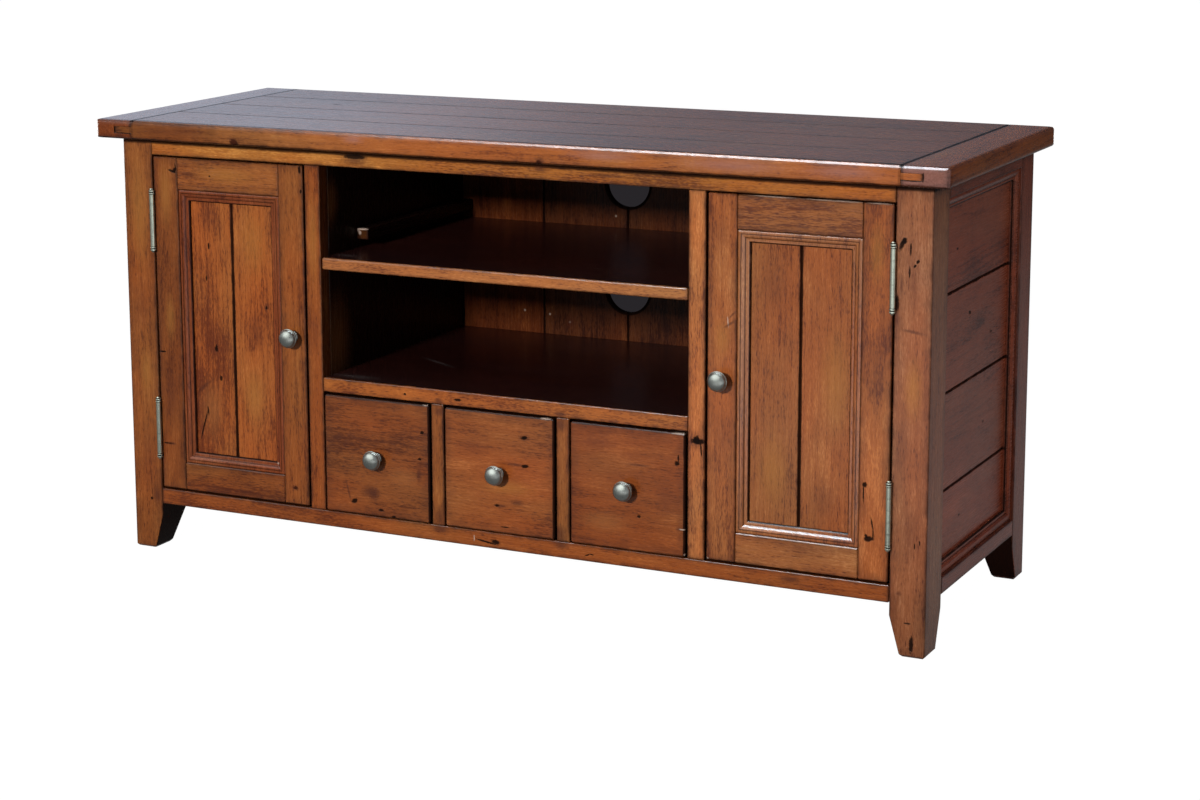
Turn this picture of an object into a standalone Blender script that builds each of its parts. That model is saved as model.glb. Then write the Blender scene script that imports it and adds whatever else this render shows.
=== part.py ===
"""Media console in old-look wood: two panelled doors, three drawers and an open middle bay.

Metres, +Z up. The console faces -Y, +X is the right-hand end as seen from the front,
and the origin is on the floor under the middle of the top.
"""
import math

import bmesh
import bpy
from mathutils import Matrix, Vector

# Overall size
WIDTH = 1.200
DEPTH = 0.430
HEIGHT = 0.600

# Clearance between pieces that touch
FIT = 0.0003

# Top: a planked panel between two end boards, held by a tongue
TOP_THICK = 0.026
TOP_OVERHANG_FRONT = 0.026
TOP_OVERHANG_SIDE = 0.027
TOP_OVERHANG_BACK = 0.002
TOP_EDGE_RADIUS = 0.0065
TOP_CORNER_RADIUS = 0.009
TOP_END_WIDTH = 0.0595
TOP_TONGUE_LENGTH = 0.0265
TOP_TONGUE_THICK = 0.008
TOP_TONGUE_INSET = 0.0004
TOP_PLANK_WIDTH = 0.1055
TOP_SEAM_WIDTH = 0.002
TOP_SEAM_DEPTH = 0.0014

# Posts and legs
POST_WIDTH = 0.046
POST_FRONT_DEPTH = 0.059
POST_REAR_DEPTH = 0.050
POST_EDGE_RADIUS = 0.0018
LEG_CLEARANCE = 0.0655
FOOT_TAPER_HEIGHT = 0.050
FOOT_TAPER_X = 0.013
FOOT_TAPER_Y = 0.017
FOOT_CHAMFER = 0.003

# Face frame
FRAME_THICK = 0.022
FRAME_EDGE_RADIUS = 0.001
TOP_RAIL_HEIGHT = 0.0225
BOTTOM_RAIL_HEIGHT = 0.0215
FACE_STILE_WIDTH = 0.0225
BAY_WIDTH = 0.526

# Side frames and panels
SIDE_RAIL_THICK = 0.020
SIDE_PANEL_THICK = 0.012
SIDE_PANEL_RECESS = 0.012
SIDE_BOARD_WIDTH = 0.122
SIDE_MOULD_DROP = 0.0025
SIDE_MOULD_SEAT = 0.0005

# Grooves between the boards of the panels
SEAM_WIDTH = 0.004
SEAM_DEPTH = 0.003

# Back with two cable holes
BACK_THICK = 0.008
BACK_INSET = 0.002
BACK_BOARD_WIDTH = 0.1315
CABLE_HOLE_RADIUS = 0.0325

# Inside boards
CASE_FLOOR_THICK = 0.016
PARTITION_THICK = 0.018
DECK_THICK = 0.019
DRAWER_OPENING_HEIGHT = 0.1625
LOWER_BAY_HEIGHT = 0.145
SHELF_THICK = 0.016
SHELF_SIDE_GAP = 0.001
SHELF_SETBACK = 0.0005
SHELF_EDGE_RADIUS = 0.003
CLEAT_WIDTH = 0.017
CLEAT_HEIGHT = 0.015
CLEAT_SETBACK = 0.094
SPARE_CLEAT_GAP = 0.0107

# Drawers, from left to right
DRAWERS = ("left", "middle", "right")
DIVIDER_WIDTH = 0.018
DRAWER_SIDE_GAP = 0.0025
DRAWER_TOP_GAP = 0.0028
DRAWER_BOTTOM_GAP = 0.0014
DRAWER_PROUD = 0.002
DRAWER_FRONT_THICK = 0.018
DRAWER_EDGE_RADIUS = 0.003
DRAWER_BOX_SIDE_GAP = 0.004
DRAWER_BOX_TOP_GAP = 0.042
DRAWER_BOX_WALL = 0.010
DRAWER_BOX_FLOOR = 0.006
DRAWER_BACK_GAP = 0.045

# Doors
DOOR_THICK = 0.022
DOOR_EDGE_RADIUS = 0.0012
DOOR_LOCK_GAP = 0.0032
DOOR_TOP_GAP = 0.002
DOOR_BOTTOM_GAP = 0.003
DOOR_STILE_WIDTH = 0.038
DOOR_TOP_RAIL_HEIGHT = 0.043
DOOR_BOTTOM_RAIL_HEIGHT = 0.038
DOOR_PANEL_THICK = 0.008
DOOR_PANEL_RECESS = 0.009
DOOR_GROOVE_DEPTH = 0.006
DOOR_GROOVE_STOP = 0.010
DOOR_TENON_SHOULDER = 0.004
MOULD_WIDTH = 0.0155

# Hinges: five knuckles with turned ends
LEAF_THICK = 0.00075
LEAF_DEPTH = 0.018
KNUCKLE_COUNT = 5
KNUCKLE_LENGTH = 0.0144
KNUCKLE_GAP = 0.0003
BARREL_RADIUS = 0.0034
PIN_RADIUS = 0.0016
PIN_CLEARANCE = 0.0003
FINIAL_LENGTH = 0.008
FINIAL_RING = 0.0004
HINGE_TOP_DROP = 0.087
HINGE_BOTTOM_RISE = 0.084
HINGE_SIDES = 12

# Knobs
KNOB_RADIUS = 0.013
KNOB_LENGTH = 0.0225
KNOB_FOOT_RADIUS = 0.0075
KNOB_NECK_RADIUS = 0.005
KNOB_SIDES = 20

# Places worked out from the sizes
CASE_HALF = WIDTH / 2 - TOP_OVERHANG_SIDE
CASE_FRONT = -DEPTH / 2 + TOP_OVERHANG_FRONT
CASE_BACK = DEPTH / 2 - TOP_OVERHANG_BACK
TOP_UNDER = HEIGHT - TOP_THICK
POST_INNER = CASE_HALF - POST_WIDTH
FRONT_POST_BACK = CASE_FRONT + POST_FRONT_DEPTH
REAR_POST_FRONT = CASE_BACK - POST_REAR_DEPTH
FRAME_BACK = CASE_FRONT + FRAME_THICK
FLOOR_TOP = LEG_CLEARANCE + BOTTOM_RAIL_HEIGHT
LINTEL = TOP_UNDER - TOP_RAIL_HEIGHT
BACK_FRONT = CASE_BACK - BACK_INSET - BACK_THICK
BAY_HALF = BAY_WIDTH / 2
FACE_STILE_OUTER = BAY_HALF + FACE_STILE_WIDTH
DECK_UNDER = FLOOR_TOP + DRAWER_OPENING_HEIGHT
DECK_TOP = DECK_UNDER + DECK_THICK
SHELF_UNDER = DECK_TOP + LOWER_BAY_HEIGHT
SHELF_TOP = SHELF_UNDER + SHELF_THICK
SIDE_RAIL_INNER = CASE_HALF - SIDE_RAIL_THICK
SIDE_PANEL_FACE = CASE_HALF - SIDE_PANEL_RECESS
DRAWER_COUNT = len(DRAWERS)
DRAWER_OPENING_WIDTH = (BAY_WIDTH - (DRAWER_COUNT - 1) * DIVIDER_WIDTH) / DRAWER_COUNT
DRAWER_PITCH = DRAWER_OPENING_WIDTH + DIVIDER_WIDTH
HINGE_GAP = 2 * LEAF_THICK + 3 * FIT
DOOR_OUTER = POST_INNER - HINGE_GAP
DOOR_INNER = FACE_STILE_OUTER + DOOR_LOCK_GAP
DOOR_LOW = FLOOR_TOP + DOOR_BOTTOM_GAP
DOOR_HIGH = LINTEL - DOOR_TOP_GAP
DOOR_PANEL_FRONT = CASE_FRONT + DOOR_PANEL_RECESS
DOOR_PANEL_BACK = DOOR_PANEL_FRONT + DOOR_PANEL_THICK
HINGE_X = POST_INNER - HINGE_GAP / 2
HINGE_Y = CASE_FRONT - FIT - BARREL_RADIUS - FINIAL_RING
HINGE_HEIGHTS = {"upper": DOOR_HIGH - HINGE_TOP_DROP, "lower": DOOR_LOW + HINGE_BOTTOM_RISE}

# Outline steps
ARC_STEPS = 3
SQUARE_ANGLE = math.radians(60)
SIDES = {"left": -1, "right": 1}
AXES = "XYZ"

# Moulding section: an outer and an inner bead, as shares of its width and of its depth to the panel
MOULD_BEADS = ((0.0, 0.24), (0.10, 0.13), (0.26, 0.10), (0.45, 0.18), (0.58, 0.36),
               (0.66, 0.52), (0.77, 0.49), (0.87, 0.52), (0.96, 0.64), (1.0, 0.78))

# Head of a knob: shares of its radius and of the knob's length, from the rim's back to the top of the dome
KNOB_HEAD = ((0.82, 0.50), (1.0, 0.56), (1.0, 0.64), (0.94, 0.66), (0.92, 0.73), (0.84, 0.83),
             (0.64, 0.93), (0.34, 0.985))

# Turned end of a hinge barrel: shares of its length from the barrel, and its radius as a name
FINIAL_STEPS = ((1.00, "tip"), (0.93, "dome"), (0.73, "groove"), (0.65, "ring"), (0.45, "ring"),
                (0.38, "groove"), (0.30, "groove"), (0.22, "ring"), (0.08, "ring"))


def make_material(name, colour, roughness, metallic=0.0):
    """A Principled material of one colour."""
    material = bpy.data.materials.new(name)
    material.use_nodes = True
    shader = material.node_tree.nodes["Principled BSDF"]
    shader.inputs["Base Color"].default_value = (*colour, 1.0)
    shader.inputs["Roughness"].default_value = roughness
    shader.inputs["Metallic"].default_value = metallic
    return material


def make_body(name, place):
    """An empty on a moving body's joint axis, or at the case's origin."""
    empty = bpy.data.objects.new(name, None)
    empty.location = place
    bpy.context.collection.objects.link(empty)
    return empty


def add_piece(name, solid, material, body):
    """Turns a solid in world places into a named object that hangs on its body."""
    bmesh.ops.translate(solid, verts=solid.verts, vec=-body.location)
    mesh = bpy.data.meshes.new(name)
    solid.to_mesh(mesh)
    solid.free()
    mesh.materials.append(material)
    piece = bpy.data.objects.new(name, mesh)
    piece.parent = body
    bpy.context.collection.objects.link(piece)
    return piece


def box(low, high):
    """A plain block between two corners."""
    solid = bmesh.new()
    bmesh.ops.create_cube(solid, size=1.0)
    for vert in solid.verts:
        for axis in range(3):
            middle = (low[axis] + high[axis]) / 2
            vert.co[axis] = middle + vert.co[axis] * (high[axis] - low[axis])
    return solid


def ease(solid, radius, steps=2):
    """Rounds the square outer edges."""
    sharp = [edge for edge in solid.edges if edge.calc_face_angle_signed(0.0) > SQUARE_ANGLE]
    bmesh.ops.bevel(solid, geom=sharp, offset=radius, segments=steps, profile=0.5, affect="EDGES")
    return solid


def board(low, high, radius=FRAME_EDGE_RADIUS, steps=1):
    """A block with eased edges."""
    return ease(box(low, high), radius, steps)


def prism(outline, axis, start, end):
    """Extrudes a closed outline along an axis. Its points are the other two axes, in order."""
    solid = bmesh.new()
    rings = []
    for level in (start, end):
        ring = []
        for point in outline:
            place = list(point)
            place.insert(AXES.index(axis), level)
            ring.append(solid.verts.new(place))
        solid.faces.new(ring)
        rings.append(ring)
    for first in range(len(outline)):
        second = (first + 1) % len(outline)
        solid.faces.new((rings[0][first], rings[0][second], rings[1][second], rings[1][first]))
    bmesh.ops.recalc_face_normals(solid, faces=solid.faces)
    return solid


def turned(profile, sides, closed=False):
    """Spins (radius, height) points about Z. A radius of 0 is an end point; a closed profile is a tube."""
    solid = bmesh.new()
    rings = []
    for radius, height in profile:
        if radius == 0:
            rings.append([solid.verts.new((0, 0, height))])
            continue
        ring = []
        for side in range(sides):
            angle = math.tau * side / sides
            ring.append(solid.verts.new((radius * math.cos(angle), radius * math.sin(angle), height)))
        rings.append(ring)
    pairs = list(zip(rings, rings[1:]))
    if closed:
        pairs.append((rings[-1], rings[0]))
    for lower, upper in pairs:
        for side in range(sides):
            after = (side + 1) % sides
            corners = [lower[side % len(lower)], lower[after % len(lower)]]
            corners += [upper[after % len(upper)], upper[side % len(upper)]]
            solid.faces.new(list(dict.fromkeys(corners)))
    bmesh.ops.recalc_face_normals(solid, faces=solid.faces)
    for face in solid.faces:
        face.smooth = True
    return solid


def combine(solid, tool, operation):
    """Joins (UNION), cuts (DIFFERENCE) or intersects (INTERSECT) a solid with another one."""
    holders = []
    for part in (solid, tool):
        mesh = bpy.data.meshes.new("combine")
        part.to_mesh(mesh)
        part.free()
        holder = bpy.data.objects.new("combine", mesh)
        bpy.context.collection.objects.link(holder)
        holders.append(holder)
    modifier = holders[0].modifiers.new("combine", "BOOLEAN")
    modifier.solver = "EXACT"
    modifier.operation = operation
    modifier.object = holders[1]
    graph = bpy.context.evaluated_depsgraph_get()
    result = bmesh.new()
    result.from_object(holders[0], graph)
    for holder in holders:
        mesh = holder.data
        bpy.data.objects.remove(holder)
        bpy.data.meshes.remove(mesh)
    return result


def arc(centre, radius, start, end):
    """Points of a round corner, angles in degrees."""
    points = []
    for step in range(ARC_STEPS + 1):
        angle = math.radians(start + (end - start) * step / ARC_STEPS)
        points.append((centre[0] + radius * math.cos(angle), centre[1] + radius * math.sin(angle)))
    return points


def round_outline(low, high, radius):
    """A rectangle with four round corners, counter-clockwise from the lower left."""
    left, bottom = low[0] + radius, low[1] + radius
    right, top = high[0] - radius, high[1] - radius
    points = arc((left, bottom), radius, 180, 270)
    points += arc((right, bottom), radius, 270, 360)
    points += arc((right, top), radius, 0, 90)
    points += arc((left, top), radius, 90, 180)
    return points


def seam_places(first, last, pitch):
    """Where the seams of a planked face lie, starting one plank from the first edge."""
    places = []
    place = first + math.copysign(pitch, last - first)
    while abs(last - place) > pitch / 4 and (last - place) * (last - first) > 0:
        places.append(place)
        place += math.copysign(pitch, last - first)
    return places


def seam_notch(place, face, inward, width=SEAM_WIDTH, depth=SEAM_DEPTH):
    """Three points of a V groove, along the first coordinate, cut into a face at the second."""
    return [(place - width / 2, face), (place, face + inward * depth), (place + width / 2, face)]


def seamed_outline(low, high, places, face_high=True):
    """A rectangle with V grooves in its upper edge, or in its lower one."""
    notches = []
    for place in sorted(places):
        notches += seam_notch(place, high[1] if face_high else low[1], -1 if face_high else 1)
    if face_high:
        return [low, (high[0], low[1]), high] + notches[::-1] + [(low[0], high[1])]
    return [low] + notches + [(high[0], low[1]), high, (low[0], high[1])]


def swap(points):
    """Exchanges the two coordinates of each point."""
    return [(second, first) for first, second in points]


def mould_ring(low, high, section, place):
    """A mitred moulding round a rectangle: (inset, depth) section, place(u, v, depth) gives a point."""
    solid = bmesh.new()
    loops = []
    for inset, depth in section:
        left, bottom = low[0] + inset, low[1] + inset
        right, top = high[0] - inset, high[1] - inset
        corners = ((left, bottom), (right, bottom), (right, top), (left, top))
        loops.append([solid.verts.new(place(u, v, depth)) for u, v in corners])
    for first in range(len(loops)):
        second = (first + 1) % len(loops)
        for corner in range(4):
            after = (corner + 1) % 4
            solid.faces.new((loops[first][corner], loops[first][after],
                             loops[second][after], loops[second][corner]))
    bmesh.ops.recalc_face_normals(solid, faces=solid.faces)
    return solid


def mould_section(recess, drop, back):
    """The moulding's section, from its outer back edge to its inner back edge."""
    beads = [(share * MOULD_WIDTH, drop + depth * (recess - drop)) for share, depth in MOULD_BEADS]
    return [(0.0, back)] + beads + [(MOULD_WIDTH, back)]


def span(side, first, second):
    """The lower and higher x of a stretch that is given on the right-hand side."""
    return min(side * first, side * second), max(side * first, side * second)


def make_top(case, wood):
    """The planked panel with its tongue, and the two grooved end boards."""
    half_depth = DEPTH / 2
    panel_half = WIDTH / 2 - TOP_END_WIDTH - FIT
    tongue_low = TOP_UNDER + (TOP_THICK - TOP_TONGUE_THICK) / 2
    tongue_high = tongue_low + TOP_TONGUE_THICK
    section = round_outline((-half_depth, TOP_UNDER), (half_depth, HEIGHT), TOP_EDGE_RADIUS)
    seams = []
    for place in seam_places(half_depth, -half_depth, TOP_PLANK_WIDTH):
        seams += seam_notch(place, HEIGHT, -1, TOP_SEAM_WIDTH, TOP_SEAM_DEPTH)[::-1]
    upper_right_end = 3 * (ARC_STEPS + 1)
    panel = prism(section[:upper_right_end] + seams + section[upper_right_end:],
                  "X", -panel_half, panel_half)
    tongue_half = panel_half + TOP_TONGUE_LENGTH
    tongue_depth = half_depth - TOP_TONGUE_INSET
    tongue = box((-tongue_half, -tongue_depth, tongue_low), (tongue_half, tongue_depth, tongue_high))
    add_piece("top_panel", combine(panel, tongue, "UNION"), wood, case)
    for name, side in SIDES.items():
        inner = WIDTH / 2 - TOP_END_WIDTH
        groove_end = tongue_half + FIT
        low_x, high_x = span(side, inner, WIDTH / 2)
        end = prism(section, "X", low_x, high_x)
        long_side = round_outline((-WIDTH / 2, TOP_UNDER), (WIDTH / 2, HEIGHT), TOP_EDGE_RADIUS)
        end = combine(end, prism(long_side, "Y", -DEPTH, DEPTH), "INTERSECT")
        plan = round_outline((-WIDTH / 2, -half_depth), (WIDTH / 2, half_depth), TOP_CORNER_RADIUS)
        end = combine(end, prism(plan, "Z", 0.0, HEIGHT + TOP_THICK), "INTERSECT")
        groove_x = span(side, inner - TOP_END_WIDTH, groove_end)
        groove = box((groove_x[0], -DEPTH, tongue_low - FIT), (groove_x[1], DEPTH, tongue_high + FIT))
        add_piece("top_end_" + name, combine(end, groove, "DIFFERENCE"), wood, case)


def make_posts(case, wood):
    """Four square posts whose feet taper on the two inner sides."""
    rows = {"front": (CASE_FRONT, FRONT_POST_BACK, 1), "rear": (CASE_BACK, REAR_POST_FRONT, -1)}
    for row, (outer_y, inner_y, inward) in rows.items():
        for name, side in SIDES.items():
            top = TOP_UNDER - FIT
            foot_x = POST_INNER + FOOT_TAPER_X
            foot_y = inner_y - inward * FOOT_TAPER_Y
            chamfer_y = inward * FOOT_CHAMFER
            levels = (
                (0.0, CASE_HALF - FOOT_CHAMFER, foot_x + FOOT_CHAMFER,
                 outer_y + chamfer_y, foot_y - chamfer_y),
                (FOOT_CHAMFER, CASE_HALF, foot_x, outer_y, foot_y),
                (FOOT_TAPER_HEIGHT, CASE_HALF, POST_INNER, outer_y, inner_y),
                (top, CASE_HALF, POST_INNER, outer_y, inner_y),
            )
            solid = bmesh.new()
            rings = []
            for height, x_out, x_in, y_out, y_in in levels:
                corners = ((x_out, y_out), (x_in, y_out), (x_in, y_in), (x_out, y_in))
                rings.append([solid.verts.new((side * x, y, height)) for x, y in corners])
            solid.faces.new(rings[0])
            solid.faces.new(rings[-1])
            for lower, upper in zip(rings, rings[1:]):
                for corner in range(4):
                    after = (corner + 1) % 4
                    solid.faces.new((lower[corner], lower[after], upper[after], upper[corner]))
            bmesh.ops.recalc_face_normals(solid, faces=solid.faces)
            add_piece("post_" + row + "_" + name, ease(solid, POST_EDGE_RADIUS), wood, case)


def make_face_frame(case, wood):
    """Top and bottom rails between the front posts, and the two stiles beside the middle bay."""
    rail_half = POST_INNER - FIT
    add_piece("face_top_rail", board((-rail_half, CASE_FRONT, LINTEL),
                                     (rail_half, FRAME_BACK, TOP_UNDER - FIT)), wood, case)
    add_piece("face_bottom_rail", board((-rail_half, CASE_FRONT, LEG_CLEARANCE),
                                        (rail_half, FRAME_BACK, FLOOR_TOP)), wood, case)
    for name, side in SIDES.items():
        low_x, high_x = span(side, BAY_HALF, FACE_STILE_OUTER)
        add_piece("face_stile_" + name, board((low_x, CASE_FRONT, FLOOR_TOP + FIT),
                                              (high_x, FRAME_BACK, LINTEL - FIT)), wood, case)


def make_sides(case, wood):
    """Side rails, and boarded side panels with a moulding round them."""
    near, far = FRONT_POST_BACK + FIT, REAR_POST_FRONT - FIT
    low, high = FLOOR_TOP + FIT, LINTEL - FIT
    for name, side in SIDES.items():
        low_x, high_x = span(side, SIDE_RAIL_INNER, CASE_HALF)
        add_piece("side_top_rail_" + name, board((low_x, near, LINTEL), (high_x, far, TOP_UNDER - FIT)),
                  wood, case)
        add_piece("side_bottom_rail_" + name, board((low_x, near, LEG_CLEARANCE), (high_x, far, FLOOR_TOP)),
                  wood, case)
        inner = SIDE_PANEL_FACE - SIDE_PANEL_THICK
        seams = seam_places(high, low, SIDE_BOARD_WIDTH)
        section = seamed_outline((low, inner), (high, SIDE_PANEL_FACE), seams)
        panel = prism([(side * x, z) for x, z in swap(section)], "Y", near, far)
        mould_back = SIDE_PANEL_RECESS + SIDE_MOULD_SEAT
        ring = mould_ring((near + FIT, low + FIT), (far - FIT, high - FIT),
                          mould_section(SIDE_PANEL_RECESS, SIDE_MOULD_DROP, mould_back),
                          lambda y, z, depth: (side * (CASE_HALF - depth), y, z))
        add_piece("side_panel_" + name, combine(panel, ring, "UNION"), wood, case)


def make_back(case, wood):
    """The boarded back between the rear posts, with a cable hole behind each open compartment."""
    half = POST_INNER - FIT
    seams = [0.0]
    for side in SIDES.values():
        seams += seam_places(0.0, side * half, BACK_BOARD_WIDTH)
    section = seamed_outline((-half, BACK_FRONT), (half, BACK_FRONT + BACK_THICK), seams, face_high=False)
    back = prism(section, "Z", LEG_CLEARANCE, TOP_UNDER - FIT)
    for height in ((DECK_TOP + SHELF_UNDER) / 2, (SHELF_TOP + LINTEL) / 2):
        reach = BACK_THICK
        profile = ((0, -reach), (CABLE_HOLE_RADIUS, -reach), (CABLE_HOLE_RADIUS, 2 * reach), (0, 2 * reach))
        drill = turned(profile, 2 * KNOB_SIDES)
        turn = Matrix.Translation((0, BACK_FRONT, height)) @ Matrix.Rotation(-math.pi / 2, 4, "X")
        bmesh.ops.transform(drill, verts=drill.verts, matrix=turn)
        back = combine(back, drill, "DIFFERENCE")
    add_piece("back_panel", back, wood, case)


def make_inside(case, wood, frame_wood):
    """Case floor, partitions, drawer deck, drawer dividers and the shelf's cleats."""
    back = BACK_FRONT - FIT
    front = FRAME_BACK + FIT
    wide, narrow = SIDE_RAIL_INNER - FIT, POST_INNER - FIT
    near, far = FRONT_POST_BACK + FIT, REAR_POST_FRONT - FIT
    right_half = [(narrow, front), (narrow, near), (wide, near), (wide, far), (narrow, far), (narrow, back)]
    left_half = [(-x, y) for x, y in reversed(right_half)]
    add_piece("case_floor", prism(right_half + left_half, "Z", FLOOR_TOP - CASE_FLOOR_THICK, FLOOR_TOP),
              wood, case)
    inner = BAY_HALF - FIT
    deck = board((-inner, CASE_FRONT, DECK_UNDER), (inner, back, DECK_TOP))
    add_piece("drawer_deck", deck, frame_wood, case)
    cleat_back = back - FIT
    cleat_front = CASE_FRONT + CLEAT_SETBACK
    cleat_tops = {"shelf_cleat_": SHELF_UNDER - FIT,
                  "spare_cleat_": SHELF_TOP + SPARE_CLEAT_GAP + CLEAT_HEIGHT}
    for name, side in SIDES.items():
        low_x, high_x = span(side, BAY_HALF, BAY_HALF + PARTITION_THICK)
        partition = board((low_x, front, FLOOR_TOP + FIT), (high_x, back, TOP_UNDER - FIT))
        add_piece("partition_" + name, partition, wood, case)
        divider = side * DRAWER_PITCH * (DRAWER_COUNT - 2) / 2
        add_piece("drawer_divider_" + name,
                  board((divider - DIVIDER_WIDTH / 2, CASE_FRONT, FLOOR_TOP + FIT),
                        (divider + DIVIDER_WIDTH / 2, back, DECK_UNDER - FIT)), frame_wood, case)
        low_x, high_x = span(side, inner - CLEAT_WIDTH, inner)
        for kind, top in cleat_tops.items():
            add_piece(kind + name, board((low_x, cleat_front, top - CLEAT_HEIGHT), (high_x, cleat_back, top)),
                      wood, case)


def make_shelf(body, wood):
    """The loose shelf that lies on its cleats."""
    half = BAY_HALF - SHELF_SIDE_GAP
    low = (-half, CASE_FRONT + SHELF_SETBACK, SHELF_UNDER)
    high = (half, BACK_FRONT - 2 * FIT, SHELF_TOP)
    add_piece("shelf", board(low, high, SHELF_EDGE_RADIUS, ARC_STEPS), wood, body)


def make_knob(name, place, metal, body):
    """A turned mushroom knob with its dome on a thin rim, standing out to the front of a face."""
    length = KNOB_LENGTH
    stem = (
        (0, 0), (KNOB_FOOT_RADIUS, 0), (KNOB_FOOT_RADIUS, 0.06 * length), (KNOB_NECK_RADIUS, 0.20 * length),
        (KNOB_NECK_RADIUS, 0.36 * length),
    )
    head = [(radius * KNOB_RADIUS, reach * length) for radius, reach in KNOB_HEAD]
    profile = (*stem, *head, (0, length))
    solid = turned(profile, KNOB_SIDES)
    turn = Matrix.Translation(place) @ Matrix.Rotation(math.pi / 2, 4, "X")
    bmesh.ops.transform(solid, verts=solid.verts, matrix=turn)
    add_piece(name, solid, metal, body)


def make_drawer(name, middle, woods, metal):
    """A drawer: its front, its open box and its knob."""
    front_y = CASE_FRONT - DRAWER_PROUD
    front_back = front_y + DRAWER_FRONT_THICK
    low, high = FLOOR_TOP + DRAWER_BOTTOM_GAP, DECK_UNDER - DRAWER_TOP_GAP
    body = make_body(name + "_slide", (middle, front_y, low))
    half = DRAWER_OPENING_WIDTH / 2 - DRAWER_SIDE_GAP
    add_piece(name + "_front", board((middle - half, front_y, low), (middle + half, front_back, high),
                                     DRAWER_EDGE_RADIUS, ARC_STEPS), woods["frame"], body)
    box_half = DRAWER_OPENING_WIDTH / 2 - DRAWER_BOX_SIDE_GAP
    box_front, box_back = front_back + FIT, BACK_FRONT - DRAWER_BACK_GAP
    box_low = FLOOR_TOP + FIT
    box_high = DECK_UNDER - DRAWER_BOX_TOP_GAP
    tray = box((middle - box_half, box_front, box_low), (middle + box_half, box_back, box_high))
    hollow_half = box_half - DRAWER_BOX_WALL
    hollow = box((middle - hollow_half, box_front + DRAWER_BOX_WALL, box_low + DRAWER_BOX_FLOOR),
                 (middle + hollow_half, box_back - DRAWER_BOX_WALL, box_high + DRAWER_BOX_TOP_GAP))
    add_piece(name + "_box", combine(tray, hollow, "DIFFERENCE"), woods["inner"], body)
    make_knob(name + "_knob", Vector((middle, front_y - FIT, (low + high) / 2)), metal, body)


def make_hinge(name, side, height, case, door, metal):
    """A butt hinge: the fixed leaf with its barrel and pin, and the moving leaf with its knuckles."""
    bottom = height - KNUCKLE_COUNT * KNUCKLE_LENGTH / 2
    radii = {"tip": 0, "dome": BARREL_RADIUS * 0.6, "groove": BARREL_RADIUS - FINIAL_RING,
             "ring": BARREL_RADIUS + FINIAL_RING}
    finial = [(radii[kind], share * FINIAL_LENGTH) for share, kind in FINIAL_STEPS]
    profile = [(radius, bottom - reach) for radius, reach in finial]
    moving = []
    for knuckle in range(KNUCKLE_COUNT):
        low = bottom + knuckle * KNUCKLE_LENGTH
        high = low + KNUCKLE_LENGTH
        if knuckle % 2:
            profile += [(PIN_RADIUS, low), (PIN_RADIUS, high)]
            moving.append((low + KNUCKLE_GAP, high - KNUCKLE_GAP))
        else:
            profile += [(BARREL_RADIUS, low), (BARREL_RADIUS, high)]
    top = bottom + KNUCKLE_COUNT * KNUCKLE_LENGTH
    profile += [(radius, top + reach) for radius, reach in reversed(finial)]
    spot = Vector((side * HINGE_X, HINGE_Y, 0))
    barrel = turned(profile, HINGE_SIDES)
    bmesh.ops.translate(barrel, verts=barrel.verts, vec=spot)
    bore = PIN_RADIUS + PIN_CLEARANCE
    tab_front = HINGE_Y + (bore + BARREL_RADIUS) / 2
    leaf_back = CASE_FRONT + LEAF_DEPTH
    fixed_x = span(side, POST_INNER - FIT - LEAF_THICK, POST_INNER - FIT)
    moving_x = span(side, DOOR_OUTER + FIT, DOOR_OUTER + FIT + LEAF_THICK)
    fixed = box((fixed_x[0], CASE_FRONT, bottom), (fixed_x[1], leaf_back, top))
    for knuckle in range(0, KNUCKLE_COUNT, 2):
        low = bottom + knuckle * KNUCKLE_LENGTH + KNUCKLE_GAP
        high = bottom + (knuckle + 1) * KNUCKLE_LENGTH - KNUCKLE_GAP
        tab = box((fixed_x[0], tab_front, low), (fixed_x[1], CASE_FRONT + LEAF_DEPTH / 2, high))
        fixed = combine(fixed, tab, "UNION")
    add_piece(name + "_fixed_leaf", combine(fixed, barrel, "UNION"), metal, case)
    plate = box((moving_x[0], CASE_FRONT, bottom), (moving_x[1], leaf_back, top))
    for low, high in moving:
        wall = ((bore, low), (BARREL_RADIUS, low), (BARREL_RADIUS, high), (bore, high))
        tube = turned(wall, HINGE_SIDES, closed=True)
        bmesh.ops.translate(tube, verts=tube.verts, vec=spot)
        tab = box((moving_x[0], tab_front, low + KNUCKLE_GAP),
                  (moving_x[1], CASE_FRONT + LEAF_DEPTH / 2, high - KNUCKLE_GAP))
        plate = combine(combine(plate, tab, "UNION"), tube, "UNION")
    add_piece(name + "_moving_leaf", plate, metal, door)


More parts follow.
